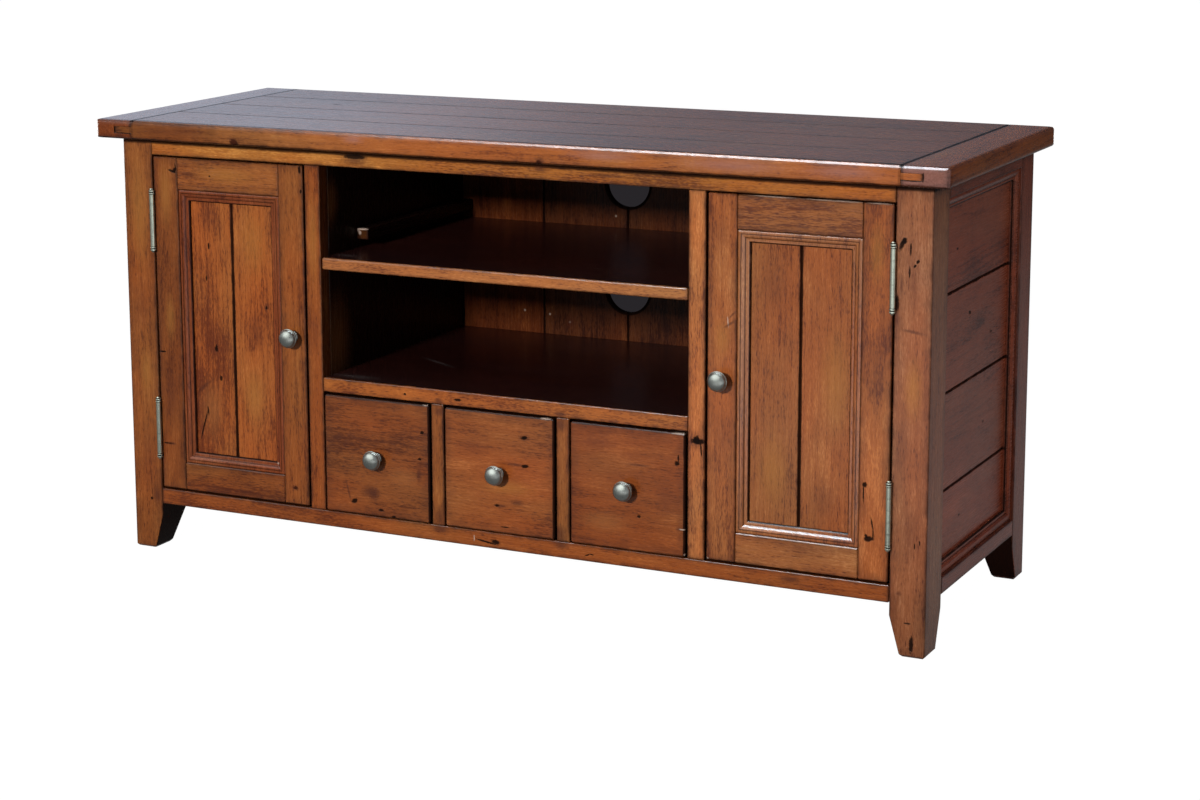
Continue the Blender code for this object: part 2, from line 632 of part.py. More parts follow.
def make_door(name, side, case, woods, metals):
    """A framed door with a two-board panel, a moulding round it, a knob and two hinges."""
    body = make_body(name + "_door_pivot", (side * HINGE_X, HINGE_Y, DOOR_LOW))
    label = name + "_door_"
    back = CASE_FRONT + DOOR_THICK
    open_outer, open_inner = DOOR_OUTER - DOOR_STILE_WIDTH, DOOR_INNER + DOOR_STILE_WIDTH
    open_low, open_high = DOOR_LOW + DOOR_BOTTOM_RAIL_HEIGHT, DOOR_HIGH - DOOR_TOP_RAIL_HEIGHT
    groove_front, groove_back = DOOR_PANEL_FRONT - FIT, DOOR_PANEL_BACK + FIT
    groove_low, groove_high = DOOR_LOW + DOOR_GROOVE_STOP, DOOR_HIGH - DOOR_GROOVE_STOP
    stiles = {"hinge_stile": (open_outer, DOOR_OUTER, open_outer + DOOR_GROOVE_DEPTH),
              "lock_stile": (open_inner, DOOR_INNER, open_inner - DOOR_GROOVE_DEPTH)}
    for piece, (inner, outer, groove_end) in stiles.items():
        low_x, high_x = span(side, inner, outer)
        stile = board((low_x, CASE_FRONT, DOOR_LOW), (high_x, back, DOOR_HIGH), DOOR_EDGE_RADIUS)
        groove_x = span(side, (open_outer + open_inner) / 2, groove_end)
        groove = box((groove_x[0], groove_front, groove_low), (groove_x[1], groove_back, groove_high))
        add_piece(label + piece, combine(stile, groove, "DIFFERENCE"), woods["frame"], body)
    rail_x = span(side, open_inner + FIT, open_outer - FIT)
    reach = DOOR_GROOVE_DEPTH - 2 * FIT
    rails = {"top_rail": (open_high, DOOR_HIGH, open_high + DOOR_GROOVE_DEPTH, groove_high - FIT),
             "bottom_rail": (DOOR_LOW, open_low, groove_low + FIT, open_low - DOOR_GROOVE_DEPTH)}
    for piece, (low, high, tenon_low, tenon_high) in rails.items():
        rail = board((rail_x[0], CASE_FRONT, low), (rail_x[1], back, high), DOOR_EDGE_RADIUS)
        inset = DOOR_TENON_SHOULDER
        tenon_span = (tenon_low + (inset if piece == "top_rail" else 0),
                      tenon_high - (inset if piece == "bottom_rail" else 0))
        tenon = box((rail_x[0] - reach, DOOR_PANEL_FRONT, tenon_span[0]),
                    (rail_x[1] + reach, DOOR_PANEL_BACK, tenon_span[1]))
        rail = combine(rail, tenon, "UNION")
        middle = (open_low + open_high) / 2
        groove_end = open_high + DOOR_GROOVE_DEPTH if piece == "top_rail" else open_low - DOOR_GROOVE_DEPTH
        groove = box((rail_x[0] - DOOR_STILE_WIDTH, groove_front, min(middle, groove_end)),
                     (rail_x[1] + DOOR_STILE_WIDTH, groove_back, max(middle, groove_end)))
        add_piece(label + piece, combine(rail, groove, "DIFFERENCE"), woods["frame"], body)
    lap = DOOR_GROOVE_DEPTH - FIT
    panel_x = span(side, open_inner - lap, open_outer + lap)
    section = seamed_outline((panel_x[0], DOOR_PANEL_FRONT), (panel_x[1], DOOR_PANEL_BACK),
                             [sum(panel_x) / 2], face_high=False)
    add_piece(label + "panel", prism(section, "Z", open_low - lap, open_high + lap), woods["panel"], body)
    mould_x = span(side, open_inner + FIT, open_outer - FIT)
    ring = mould_ring((mould_x[0], open_low + FIT), (mould_x[1], open_high - FIT),
                      mould_section(DOOR_PANEL_RECESS, 0.0, DOOR_PANEL_RECESS - FIT),
                      lambda x, z, depth: (x, CASE_FRONT + depth, z))
    add_piece(label + "moulding", ring, woods["frame"], body)
    knob_x = side * (DOOR_INNER + DOOR_STILE_WIDTH / 2)
    knob_place = Vector((knob_x, CASE_FRONT - FIT, (DOOR_LOW + DOOR_HIGH) / 2))
    make_knob(label + "knob", knob_place, metals["knob"], body)
    for place, height in HINGE_HEIGHTS.items():
        make_hinge(name + "_" + place + "_hinge", side, height, case, body, metals["hinge"])


def main():
    for old in list(bpy.data.objects):
        bpy.data.objects.remove(old)
    woods = {
        "top": make_material("top_wood", (0.13, 0.055, 0.030), 0.30),
        "frame": make_material("frame_wood", (0.30, 0.105, 0.035), 0.38),
        "panel": make_material("panel_wood", (0.31, 0.115, 0.038), 0.40),
        "side": make_material("side_wood", (0.20, 0.075, 0.035), 0.38),
        "inner": make_material("inner_wood", (0.12, 0.045, 0.020), 0.45),
    }
    metals = {
        "knob": make_material("aged_pewter", (0.36, 0.35, 0.31), 0.34, 1.0),
        "hinge": make_material("aged_brass", (0.44, 0.43, 0.33), 0.38, 1.0),
    }
    case = make_body("case_origin", (0, 0, 0))
    make_top(case, woods["top"])
    make_posts(case, woods["frame"])
    make_face_frame(case, woods["frame"])
    make_sides(case, woods["side"])
    make_back(case, woods["inner"])
    make_inside(case, woods["inner"], woods["frame"])
    make_shelf(make_body("shelf_slide", (0, CASE_FRONT, SHELF_UNDER)), woods["frame"])
    for index, name in enumerate(DRAWERS):
        middle = (index - (DRAWER_COUNT - 1) / 2) * DRAWER_PITCH
        make_drawer("drawer_" + name, middle, woods, metals["knob"])
    for name, side in SIDES.items():
        make_door(name, side, case, woods, metals)


main()
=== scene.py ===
"""Dressed scene of the media console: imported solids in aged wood, pewter and brass, lamps and camera.

Lengths are in metres unless a name ends in MM. The console's front faces -Y and the floor is z = 0.
"""
import math

import bmesh
import bpy
from mathutils import Matrix, Vector


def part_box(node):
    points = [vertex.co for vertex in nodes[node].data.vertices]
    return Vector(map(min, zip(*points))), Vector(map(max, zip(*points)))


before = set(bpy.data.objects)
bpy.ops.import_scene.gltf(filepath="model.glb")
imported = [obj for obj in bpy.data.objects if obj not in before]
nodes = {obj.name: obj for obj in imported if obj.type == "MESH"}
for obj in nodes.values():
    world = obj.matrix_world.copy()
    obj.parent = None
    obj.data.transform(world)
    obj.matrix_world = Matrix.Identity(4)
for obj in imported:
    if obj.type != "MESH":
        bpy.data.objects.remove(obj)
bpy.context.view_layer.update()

MM = 0.001
# The cable holes of the back panel
HOLE_HEIGHTS_MM = (341.0, 490.5)
HOLE_RADIUS_MM = 32.5

# The camera that fits the photograph's corners, for 1200 by 800 pixels
IMAGE_WIDTH = 1200
IMAGE_HEIGHT = 800
FOCAL_PIXELS = 2649.4
AXIS_PIXEL_X = 500.0
AXIS_PIXEL_Y = 295.0
SENSOR_MM = 36.0
CAMERA_YAW = math.radians(27.710)
CAMERA_PITCH = math.radians(10.600)
CAMERA_ROLL = math.radians(-0.506)
CAMERA_PLACE = Vector((1.5398, -3.1150, 1.0192))


def add_object(name, data):
    obj = bpy.data.objects.new(name, data)
    bpy.context.scene.collection.objects.link(obj)
    return obj


def make_camera():
    start = Matrix(((1, 0, 0), (0, 0, -1), (0, 1, 0)))
    turn = Matrix.Rotation(CAMERA_YAW, 3, "Z").transposed()
    tilt = Matrix.Rotation(CAMERA_PITCH, 3, "X")
    lean = Matrix.Rotation(CAMERA_ROLL, 3, "Z")
    right, down, ahead = (lean @ tilt @ start @ turn)[:]
    data = bpy.data.cameras.new("camera")
    data.sensor_width = SENSOR_MM
    data.lens = FOCAL_PIXELS * SENSOR_MM / IMAGE_WIDTH
    data.shift_x = (IMAGE_WIDTH / 2 - AXIS_PIXEL_X) / IMAGE_WIDTH
    data.shift_y = (AXIS_PIXEL_Y - IMAGE_HEIGHT / 2) / IMAGE_WIDTH
    camera = add_object("camera", data)
    pose = Matrix((right, -down, -ahead)).transposed().to_4x4()
    pose.translation = CAMERA_PLACE
    camera.matrix_world = pose
    bpy.context.scene.camera = camera


class Net:
    """Adds nodes to one node tree and joins them."""

    def __init__(self, tree):
        self.tree = tree

    def put(self, socket, value):
        if isinstance(value, bpy.types.NodeSocket):
            self.tree.links.new(value, socket)
        else:
            socket.default_value = value

    def add(self, kind, inputs=None, **settings):
        node = self.tree.nodes.new("ShaderNode" + kind)
        for key, value in settings.items():
            setattr(node, key, value)
        for key, value in (inputs or {}).items():
            self.put(node.inputs[key], value)
        return node

    def math(self, operation, *values, clamp=False):
        node = self.add("Math", dict(enumerate(values)), operation=operation, use_clamp=clamp)
        return node.outputs[0]

    def times(self, first, second):
        return self.math("MULTIPLY", first, second)

    def minus(self, first, second):
        return self.math("SUBTRACT", first, second)

    def plus(self, base, value, share):
        return self.math("MULTIPLY_ADD", value, share, base)

    def lean(self, base, value, share):
        """The base, moved by a share of a value that runs about one half."""
        return self.plus(base, self.minus(value, 0.5), share)

    def vector(self, operation, *values):
        node = self.add("VectorMath", dict(enumerate(values)), operation=operation)
        return node.outputs["Value" if operation in ("LENGTH", "DOT_PRODUCT") else "Vector"]

    def noise(self, place, scale=1.0, detail=2.0, rough=0.5, colour=False):
        node = self.add("TexNoise",
                        {"Vector": place, "Scale": scale, "Detail": detail, "Roughness": rough})
        return node.outputs[1 if colour else 0]

    def fade(self, value, start, end, low=0.0, high=1.0):
        node = self.add("MapRange", {0: value, 1: start, 2: end, 3: low, 4: high},
                        interpolation_type="SMOOTHSTEP")
        return node.outputs[0]

    def blend(self, amount, first, second, kind="MIX"):
        node = self.add("Mix", {0: amount, 6: first, 7: second},
                        data_type="RGBA", blend_type=kind)
        return node.outputs[2]

    def mix(self, amount, first, second):
        return self.add("MixShader", {0: amount, 1: first.outputs[0], 2: second.outputs[0]})

    def parts(self, vector):
        return self.add("SeparateXYZ", {0: vector}).outputs[:]

    def join(self, x, y, z):
        return self.add("CombineXYZ", {0: x, 1: y, 2: z}).outputs[0]

    def group(self, tree, inputs):
        return self.add("Group", inputs, node_tree=tree).outputs

    def place(self):
        return self.add("TexCoord").outputs["Object"]

    def surface(self, shader):
        self.add("OutputMaterial", {"Surface": shader.outputs[0]})


def new_group(name, inputs, outputs):
    tree = bpy.data.node_groups.new(name, "ShaderNodeTree")
    for key, kind in inputs.items():
        tree.interface.new_socket(key, in_out="INPUT", socket_type="NodeSocket" + kind)
    for key, kind in outputs.items():
        tree.interface.new_socket(key, in_out="OUTPUT", socket_type="NodeSocket" + kind)
    source = tree.nodes.new("NodeGroupInput").outputs
    target = tree.nodes.new("NodeGroupOutput").inputs
    return tree, Net(tree), source, target


def new_material(name):
    material = bpy.data.materials.new(name)
    material.use_nodes = True
    material.node_tree.nodes.clear()
    return material


def colour(red, green, blue):
    return (red, green, blue, 1.0)


# Layers of the wood figure: waves per metre along and across the grain, detail, roughness
FIGURE_LAYERS = {
    "wander": (2.4, 6.0, 1.0, 0.5),
    "ripple": (9.0, 60.0, 2.0, 0.5),
    "streak": (26.0, 420.0, 4.0, 0.65),
    "fleck": (170.0, 720.0, 2.0, 0.6),
    "pores": (105.0, 980.0, 1.0, 0.5),
    "broad": (3.2, 10.0, 3.0, 0.55),
    "patch": (16.0, 42.0, 3.0, 0.6),
    "drift": (5.0, 16.0, 2.0, 0.5),
}
# How far a plank's number moves it through the figure
PLANK_JUMP = (37.0, 41.0, 43.0)
RINGS_PER_METRE = 118.0
RING_SWAY = 0.030
# The pith's least depth, and how its place and slope differ between planks
PITH_DEPTH = 0.018
PITH_DEPTH_SPREAD = 0.06
PITH_SPREAD = 0.10
PITH_SLOPE_SPREAD = 0.10
# Limits of a ring's dark late wood as it rises and falls, and of the pores
LATE_RISE = (0.35, 0.92)
LATE_FALL = (1.0, 0.92)
PORE_LIMITS = (0.55, 0.70)
# Shares of each layer in the tone
PATCH_SHARE = 0.75
FLECK_SHARE = 1.5
PORE_SHARE = 0.42
PLANK_SHARE = 0.16
# The hue drifts between a red and a cooler cast
DRIFT_LIMITS = (0.30, 0.70)
DRIFT_SHARE = 0.30
RED_CAST = colour(1.03, 0.90, 0.80)
COOL_CAST = colour(0.98, 1.08, 1.12)
STREAK_HEIGHT = 0.6
PORE_HEIGHT = -0.7
LATE_HEIGHT = -0.15


def make_wood_group():
    """Growth rings, fibres, pores and stain blotches of one plank, along its own grain."""
    tree, net, source, target = new_group(
        "wood_figure",
        {"Place": "Vector", "Seed": "Float", "Light": "Color", "Mid": "Color", "Dark": "Color",
         "Blotch": "Float", "Rings": "Float", "Fibre": "Float"},
        {"Colour": "Color", "Height": "Float", "Fibre": "Float"})
    along, across, depth = net.parts(source["Place"])
    draw = net.add("TexWhiteNoise", {"W": source["Seed"]}, noise_dimensions="1D").outputs["Color"]
    first, second, third = net.parts(draw)
    moved = net.vector("MULTIPLY_ADD", draw, PLANK_JUMP, source["Place"])

    def layer(name):
        lengthwise, crosswise, detail, rough = FIGURE_LAYERS[name]
        spot = net.vector("MULTIPLY", moved, (lengthwise, crosswise, crosswise))
        return net.noise(spot, detail=detail, rough=rough)

    sway = net.lean(0.0, layer("wander"), RING_SWAY)
    side = net.math("ADD", net.minus(across, net.lean(0.0, first, PITH_SPREAD)), sway)
    slope = net.lean(0.0, third, PITH_SLOPE_SPREAD)
    under = net.plus(PITH_DEPTH, second, PITH_DEPTH_SPREAD)
    down = net.math("ADD", net.plus(depth, along, slope), under)
    reach = net.vector("LENGTH", net.join(side, down, 0.0))
    phase = net.math("FRACT", net.plus(layer("ripple"), reach, RINGS_PER_METRE))
    late = net.times(net.fade(phase, *LATE_RISE), net.fade(phase, *LATE_FALL))
    streak = layer("streak")
    pore = net.fade(layer("pores"), *PORE_LIMITS)

    blotch = source["Blotch"]
    fibre = source["Fibre"]
    tone = net.lean(0.5, layer("broad"), blotch)
    tone = net.lean(tone, layer("patch"), net.times(blotch, PATCH_SHARE))
    tone = net.lean(tone, second, PLANK_SHARE)
    tone = net.lean(tone, streak, fibre)
    tone = net.lean(tone, layer("fleck"), net.times(fibre, FLECK_SHARE))
    tone = net.minus(tone, net.times(late, source["Rings"]))
    tone = net.minus(tone, net.times(pore, net.times(fibre, PORE_SHARE)))
    lower = net.blend(net.fade(tone, 0.0, 0.5), source["Dark"], source["Mid"])
    shade = net.blend(net.fade(tone, 0.5, 1.0), lower, source["Light"])
    drift = net.lean(layer("drift"), third, DRIFT_SHARE)
    cast = net.blend(net.fade(drift, *DRIFT_LIMITS), RED_CAST, COOL_CAST)
    net.put(target["Colour"], net.blend(1.0, shade, cast, "MULTIPLY"))
    height = net.plus(net.times(streak, STREAK_HEIGHT), pore, PORE_HEIGHT)
    net.put(target["Height"], net.plus(height, late, LATE_HEIGHT))
    net.put(target["Fibre"], streak)
    return tree


def make_edge_group():
    """How far a point lies from the nearest edge, and from the nearest side, of a box."""
    tree, net, source, target = new_group(
        "edge_reach", {"Place": "Vector", "Low": "Vector", "High": "Vector"},
        {"Edge": "Float", "Side": "Float"})
    near = net.vector("MINIMUM", net.vector("SUBTRACT", source["Place"], source["Low"]),
                      net.vector("SUBTRACT", source["High"], source["Place"]))
    x, y, z = net.parts(near)
    less = net.math("MINIMUM", x, y)
    more = net.math("MAXIMUM", x, y)
    net.put(target["Edge"], net.math("MAXIMUM", less, net.math("MINIMUM", more, z)))
    net.put(target["Side"], net.math("MINIMUM", less, z))
    return tree


# A mark's rim: waves per metre, their size, and where it ends in shares of the reach
RIM_WAVES = 420.0
RIM_SHAKE = (0.9, 0.9, 0.9)
RIM_END = 1.45


def make_mark_group():
    """A ragged oval mark round a point of a face, 1 inside it and 0 outside."""
    tree, net, source, target = new_group(
        "old_mark", {"Place": "Vector", "Centre": "Vector", "Reach": "Vector", "Axis": "Vector",
                     "Angle": "Float", "Soft": "Float"}, {"Mark": "Float"})
    away = net.vector("SUBTRACT", source["Place"], source["Centre"])
    turned = net.add("VectorRotate",
                     {"Vector": away, "Axis": source["Axis"], "Angle": source["Angle"]})
    oval = net.vector("DIVIDE", turned.outputs[0], source["Reach"])
    shake = net.noise(source["Place"], RIM_WAVES, colour=True)
    ragged = net.vector("MULTIPLY_ADD", net.vector("SUBTRACT", shake, (0.5, 0.5, 0.5)), RIM_SHAKE, oval)
    net.put(target["Mark"], net.fade(net.vector("LENGTH", ragged), RIM_END, source["Soft"]))
    return tree


# Worm holes: cells per metre, limits of the chance of one, and of its rim
WORM_CELLS = 17.0
WORM_CHANCE = (0.80, 0.82)
WORM_RIM = (0.030, 0.014)
WORM_SEED_STEP = 3.7


def make_worm_group():
    """Sparse round worm holes over a face, from its two directions."""
    tree, net, source, target = new_group(
        "worm_holes", {"Place": "Vector", "Seed": "Float"}, {"Mark": "Float"})
    along, across = net.parts(source["Place"])[:2]
    flat = net.join(along, across, net.times(source["Seed"], WORM_SEED_STEP))
    cell = net.add("TexVoronoi", {"Vector": flat, "Scale": WORM_CELLS}, voronoi_dimensions="3D")
    chance = net.parts(cell.outputs["Color"])[0]
    rare = net.fade(chance, *WORM_CHANCE)
    dot = net.fade(cell.outputs["Distance"], *WORM_RIM)
    net.put(target["Mark"], net.times(rare, dot))
    return tree


WOOD = make_wood_group()
EDGE = make_edge_group()
MARK = make_mark_group()
WORM = make_worm_group()

# Stains of the wood, each as its light, middle and dark tone
FRONT = ((0.430, 0.150, 0.040), (0.270, 0.078, 0.018), (0.092, 0.021, 0.007))
RED = ((0.400, 0.130, 0.037), (0.250, 0.069, 0.017), (0.085, 0.020, 0.007))
SIDE = ((0.330, 0.088, 0.044), (0.210, 0.051, 0.025), (0.085, 0.020, 0.012))
# The back, inside and shelf stains are darkened to paint the shade inside the case
BACK_IN_SHADE = ((0.110, 0.035, 0.011), (0.058, 0.016, 0.006), (0.020, 0.005, 0.003))
INSIDE_IN_SHADE = ((0.040, 0.014, 0.009), (0.022, 0.008, 0.006), (0.010, 0.004, 0.003))
SHELF_IN_SHADE = ((0.060, 0.018, 0.013), (0.034, 0.009, 0.008), (0.014, 0.004, 0.004))
BARE = ((0.420, 0.255, 0.130), (0.310, 0.178, 0.085), (0.190, 0.100, 0.045))
# End grain of the slab's end block, its purple-grey tone also painting the sheen on it
END_GRAIN_AND_SHEEN = ((0.240, 0.120, 0.105), (0.165, 0.078, 0.066), (0.060, 0.025, 0.022))

# Colours of glaze and painted shade, of wear, and of dust and painted sheen
GLAZE_AND_SHADE = colour(0.016, 0.006, 0.004)
SHADED = colour(0.040, 0.012, 0.009)
RUBBED = colour(0.420, 0.190, 0.075)
HOLE = colour(0.009, 0.005, 0.004)
PALE = colour(0.105, 0.088, 0.088)

# Each kind of mark: colour, strength, and where its rim starts
MARK_KINDS = {
    "hole": (HOLE, 0.96, 0.75),
    "stain": (colour(0.070, 0.018, 0.009), 0.72, 0.1),
    # Pale chips of wear, and painted highlights on edges, corners and nail heads
    "chip": (colour(0.520, 0.400, 0.330), 0.75, 0.6),
    "glow": (colour(0.330, 0.118, 0.034), 0.55, 0.0),
    "dust": (PALE, 0.60, 0.0),
    "gold": (colour(0.390, 0.158, 0.034), 0.50, 0.0),
    "shade": (colour(0.085, 0.020, 0.011), 0.36, 0.0),
    # Pale bloom in the varnish, and painted sheen where it lies right of the slab front's middle
    "bloom": (colour(0.350, 0.165, 0.140), 0.55, 0.0),
}

AXES = {"X": (1, 0, 0), "Y": (0, 1, 0), "Z": (0, 0, 1)}
RIGHTWARD = (1, 0, 0)
LEFTWARD = (-1, 0, 0)
FORWARD = (0, -1, 0)


def tinted(tones, red, green, blue):
    return tuple((tone[0] * red, tone[1] * green, tone[2] * blue) for tone in tones)


def brightened(tones, level):
    return [colour(*(min(part * level, 1.0) for part in tone)) for tone in tones]


# The pattern that breaks up glaze: waves per metre, detail and roughness
UNEVEN = (48.0, 3.0, 0.6)
PLANK_SEED_STEP = 7.31
# How far glaze wanders at an edge, a seam and a joint, and as a share of a band
EDGE_WANDER = 0.007
SEAM_WANDER = 0.003
JOINT_WANDER = 0.003
BAND_WANDER = 0.8
# The front lip's limit: waves per metre, their size, and its softness
LIP_WAVES = 90.0
LIP_WANDER = 0.003
LIP_SOFT = 0.0025
# The shade of old stain: its reach, its largest share of a board, and its wander
SHADE_REACH = 0.018
SHADE_SHARE = 0.34
SHADE_WANDER = 1.6
# How much sheen the dirt at an edge takes
EDGE_BLACK = 0.5
# Painted shade round a bore: its limits out from the bore's wall, and its strength
BORE_SHADE_LIMITS = (0.0045, 0.0030)
BORE_SHADE_STRENGTH = 0.97
# Painted shade on edges at a gap: limits in from the outline, and back from the front
GAP_SHADE_INWARD = (0.0010, 0.0005)
GAP_SHADE_BACK = (0.0012, 0.0040)
# How far down a face looks where its painted pale sheen starts and is full
UNDER_SHEEN_LIMITS = (-0.10, -0.45)
# A seam: its full middle, its strength, and where a moulding cuts it off
SEAM_CORE = 0.45
SEAM_STRENGTH = 0.95
SEAM_CUT = (0.0125, 0.0145)
# A joint: its limits, how far under the top it weakens, and its strength there
JOINT_LIMITS = (0.0040, 0.0024)
JOINT_UNDER = (0.004, 0.001)
JOINT_LOW_STRENGTH = 0.35
# Painted shade inside a foot: limits of height, of how a face looks inward, and strength
FOOT_SHADE_HEIGHT = (0.068, 0.064)
FOOT_SHADE_FACING = (0.6, 0.8)
FOOT_SHADE_STRENGTH = 0.95
# A moulding's line: its full middle, where it breaks, and its least share
LINE_CORE = 0.4
LINE_BREAKS = (0.25, 0.50)
LINE_LEAST = 0.7
# Rubbed edges: pattern, limits, width, and strength on a stain this bright
RUB_PATTERN = (26.0, 3.0, 0.7)
RUB_LIMITS = (0.52, 0.62)
RUB_WIDTH = 0.0011
RUB_STRENGTH = 0.45
RUB_TONE = 0.2
WORM_STRENGTH = 0.92
DENT_HEIGHT = -2.5
# Varnish: roughness by fibre and dirt, bump, refraction, and sheen lost to glaze and painted shade
FIBRE_ROUGHNESS = 0.14
DIRT_ROUGHNESS = 0.12
WOOD_BUMP = 0.22
WOOD_BUMP_DISTANCE = 0.0006
VARNISH_IOR = 1.32
BLACK_MATT = 0.92


class Board(Net):
    """The shader of one wooden node, in layers of stain, dark glaze, painted shade and sheen, wear and
    marks.
    """

    def __init__(self, node, grain, face, seed, planks):
        self.material = new_material(node + "_wood")
        super().__init__(self.material.node_tree)
        self.face = face
        self.spot = self.place()
        self.at = dict(zip("XYZ", self.parts(self.spot)))
        self.low, self.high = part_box(node)
        self.uneven = self.noise(self.spot, *UNEVEN)
        self.edge = self.box_reach(self.low, self.high)["Edge"]
        self.inward = None
        self.dents = None
        centre = [(low + high) / 2 for low, high in zip(self.low, self.high)]
        inside = dict(zip("XYZ", self.parts(self.vector("SUBTRACT", self.spot, centre))))
        side = ({"X", "Y", "Z"} - {grain, face}).pop()
        across = inside[side]
        self.seed = float(seed)
        if planks:
            first, pitch = (value * MM for value in planks)
            off = self.minus(across, first - centre["XYZ".index(side)])
            count = self.math("DIVIDE", off, pitch)
            self.seed = self.plus(self.seed, self.math("FLOOR", count), PLANK_SEED_STEP)
            self.seam = self.math("PINGPONG", off, pitch / 2)
            across = self.lean(0.0, self.math("FRACT", count), pitch)
        self.grain_spot = self.join(inside[grain], across, inside[face])

    def box_reach(self, low, high):
        return self.group(EDGE, {"Place": self.spot, "Low": tuple(low), "High": tuple(high)})

    def normal(self):
        return self.add("NewGeometry").outputs["True Normal"]

    def figure(self, tones, level, shares):
        light, middle, dark = brightened(tones, level)
        blotch, rings, fibre = shares
        return self.group(WOOD, {"Place": self.grain_spot, "Seed": self.seed,
                                 "Light": light, "Mid": middle, "Dark": dark,
                                 "Blotch": blotch, "Rings": rings, "Fibre": fibre})

    def stain(self, tones, level, shares, lip):
        """The wood in its stain. With a lip, only the front edge keeps the outer stain."""
        figure = self.figure(tones, level, shares)
        self.shade = figure["Colour"]
        self.height = figure["Height"]
        self.fibre = figure["Fibre"]
        if lip:
            lip_tones, lip_level, lip_depth = lip
            front = self.figure(lip_tones, lip_level, shares)["Colour"]
            back = self.minus(self.at["Y"], self.low[1])
            back = self.plus(back, self.noise(self.spot, LIP_WAVES), LIP_WANDER)
            self.shade = self.blend(self.fade(back, lip_depth, lip_depth + LIP_SOFT), front, self.shade)

    def paint(self, amount, tint):
        self.shade = self.blend(amount, self.shade, tint)

    def glaze(self, amount):
        """Dark glaze at seams and joints, and painted shade where the other layers call it; both take the
        sheen away too.
        """
        self.paint(amount, GLAZE_AND_SHADE)
        self.black = self.math("MAXIMUM", self.black, amount)

    def darken_edges(self, glaze, edge_mm, vignette, with_thickness):
        """Old stain that darkens towards the edges of a board, and dirt along them."""
        sizes = [high - low for axis, low, high in zip("XYZ", self.low, self.high)
                 if with_thickness or axis != self.face]
        reach = min(SHADE_REACH, min(sizes) * SHADE_SHARE)
        wide = self.lean(self.edge, self.uneven, -SHADE_WANDER * reach)
        self.paint(self.times(self.fade(wide, reach, 0.0), vignette), SHADED)
        narrow = self.lean(self.edge, self.uneven, -EDGE_WANDER)
        self.dirt = self.times(self.fade(narrow, edge_mm * MM, 0.0), glaze)
        self.paint(self.dirt, GLAZE_AND_SHADE)
        self.black = self.times(self.dirt, EDGE_BLACK)

    def band(self, axis, start, end, strength):
        """Darkening that deepens along one direction; under the slab and at the drawer gaps it is painted
        shade.
        """
        ragged = self.lean(self.at[axis], self.uneven, (end - start) * BAND_WANDER)
        self.glaze(self.fade(ragged, start, end, 0.0, strength))

    def bore(self, x, z, radius):
        """Painted shade on the wall of a cable hole and round it."""
        off = self.vector("SUBTRACT", self.spot, (x, 0.0, z))
        reach = self.vector("LENGTH", self.vector("MULTIPLY", off, (1.0, 0.0, 1.0)))
        limits = (radius + more for more in BORE_SHADE_LIMITS)
        self.glaze(self.fade(reach, *limits, 0.0, BORE_SHADE_STRENGTH))

    def find_outline(self):
        """Distance in from the outline of the face, whatever the depth."""
        deep = [1.0 if axis == self.face else 0.0 for axis in "XYZ"]
        low = [value - more for value, more in zip(self.low, deep)]
        high = [value + more for value, more in zip(self.high, deep)]
        self.inward = self.box_reach(low, high)["Side"]

    def shade_gap_sides(self, strength):
        """Painted shade on the edges of a piece that look into a gap."""
        back = self.minus(self.at["Y"], self.low[1])
        near = self.fade(self.inward, *GAP_SHADE_INWARD, 0.0, strength)
        self.glaze(self.times(near, self.fade(back, *GAP_SHADE_BACK)))

    def paint_under_sheen(self, strength):
        """Faces that look down to the floor get a painted pale sheen, as their reflection."""
        downward = self.parts(self.normal())[2]
        self.paint(self.fade(downward, *UNDER_SHEEN_LIMITS, 0.0, strength), PALE)

    def seams(self, seam_mm):
        """Dark glaze in the seams between planks, which stop at a moulding."""
        ragged = self.lean(self.seam, self.uneven, -SEAM_WANDER)
        groove = self.fade(ragged, seam_mm * MM, seam_mm * MM * SEAM_CORE)
        groove = self.times(groove, SEAM_STRENGTH)
        if self.inward is not None:
            groove = self.times(groove, self.fade(self.inward, *SEAM_CUT))
        self.glaze(groove)

    def joint(self, x):
        """Dark glaze along a joint across the top face."""
        off = self.math("ABSOLUTE", self.minus(self.at["X"], x))
        ragged = self.lean(off, self.uneven, JOINT_WANDER)
        limits = (self.high[2] - under for under in JOINT_UNDER)
        on_top = self.fade(self.at["Z"], *limits, JOINT_LOW_STRENGTH, 1.0)
        self.glaze(self.times(self.fade(ragged, *JOINT_LIMITS), on_top))

    def shade_foot_face(self, direction):
        """Painted shade on the faces of a foot that look under the case."""
        facing = self.vector("DOT_PRODUCT", self.normal(), direction)
        below = self.fade(self.at["Z"], *FOOT_SHADE_HEIGHT)
        inner = self.fade(facing, *FOOT_SHADE_FACING, 0.0, FOOT_SHADE_STRENGTH)
        self.glaze(self.times(below, inner))

    def mould_glaze_and_shade(self, middle_mm, half_mm, strength):
        """Dark lines along a moulding: glaze left in its hollows, and painted shade there and at the
        panel's groove.
        """
        off = self.math("ABSOLUTE", self.minus(self.inward, middle_mm * MM))
        line = self.fade(off, half_mm * MM, half_mm * MM * LINE_CORE)
        broken = self.fade(self.uneven, *LINE_BREAKS, strength * LINE_LEAST, strength)
        self.glaze(self.times(line, broken))

    def rub_edges(self, strength):
        """Stain that is worn off along the sharpest edges."""
        worn = self.fade(self.noise(self.spot, *RUB_PATTERN), *RUB_LIMITS)
        rub = self.times(self.fade(self.edge, RUB_WIDTH, 0.0), worn)
        self.paint(self.times(rub, strength), RUBBED)

    def worm_holes(self):
        self.dents = self.group(WORM, {"Place": self.grain_spot, "Seed": self.seed})["Mark"]
        self.paint(self.times(self.dents, WORM_STRENGTH), HOLE)

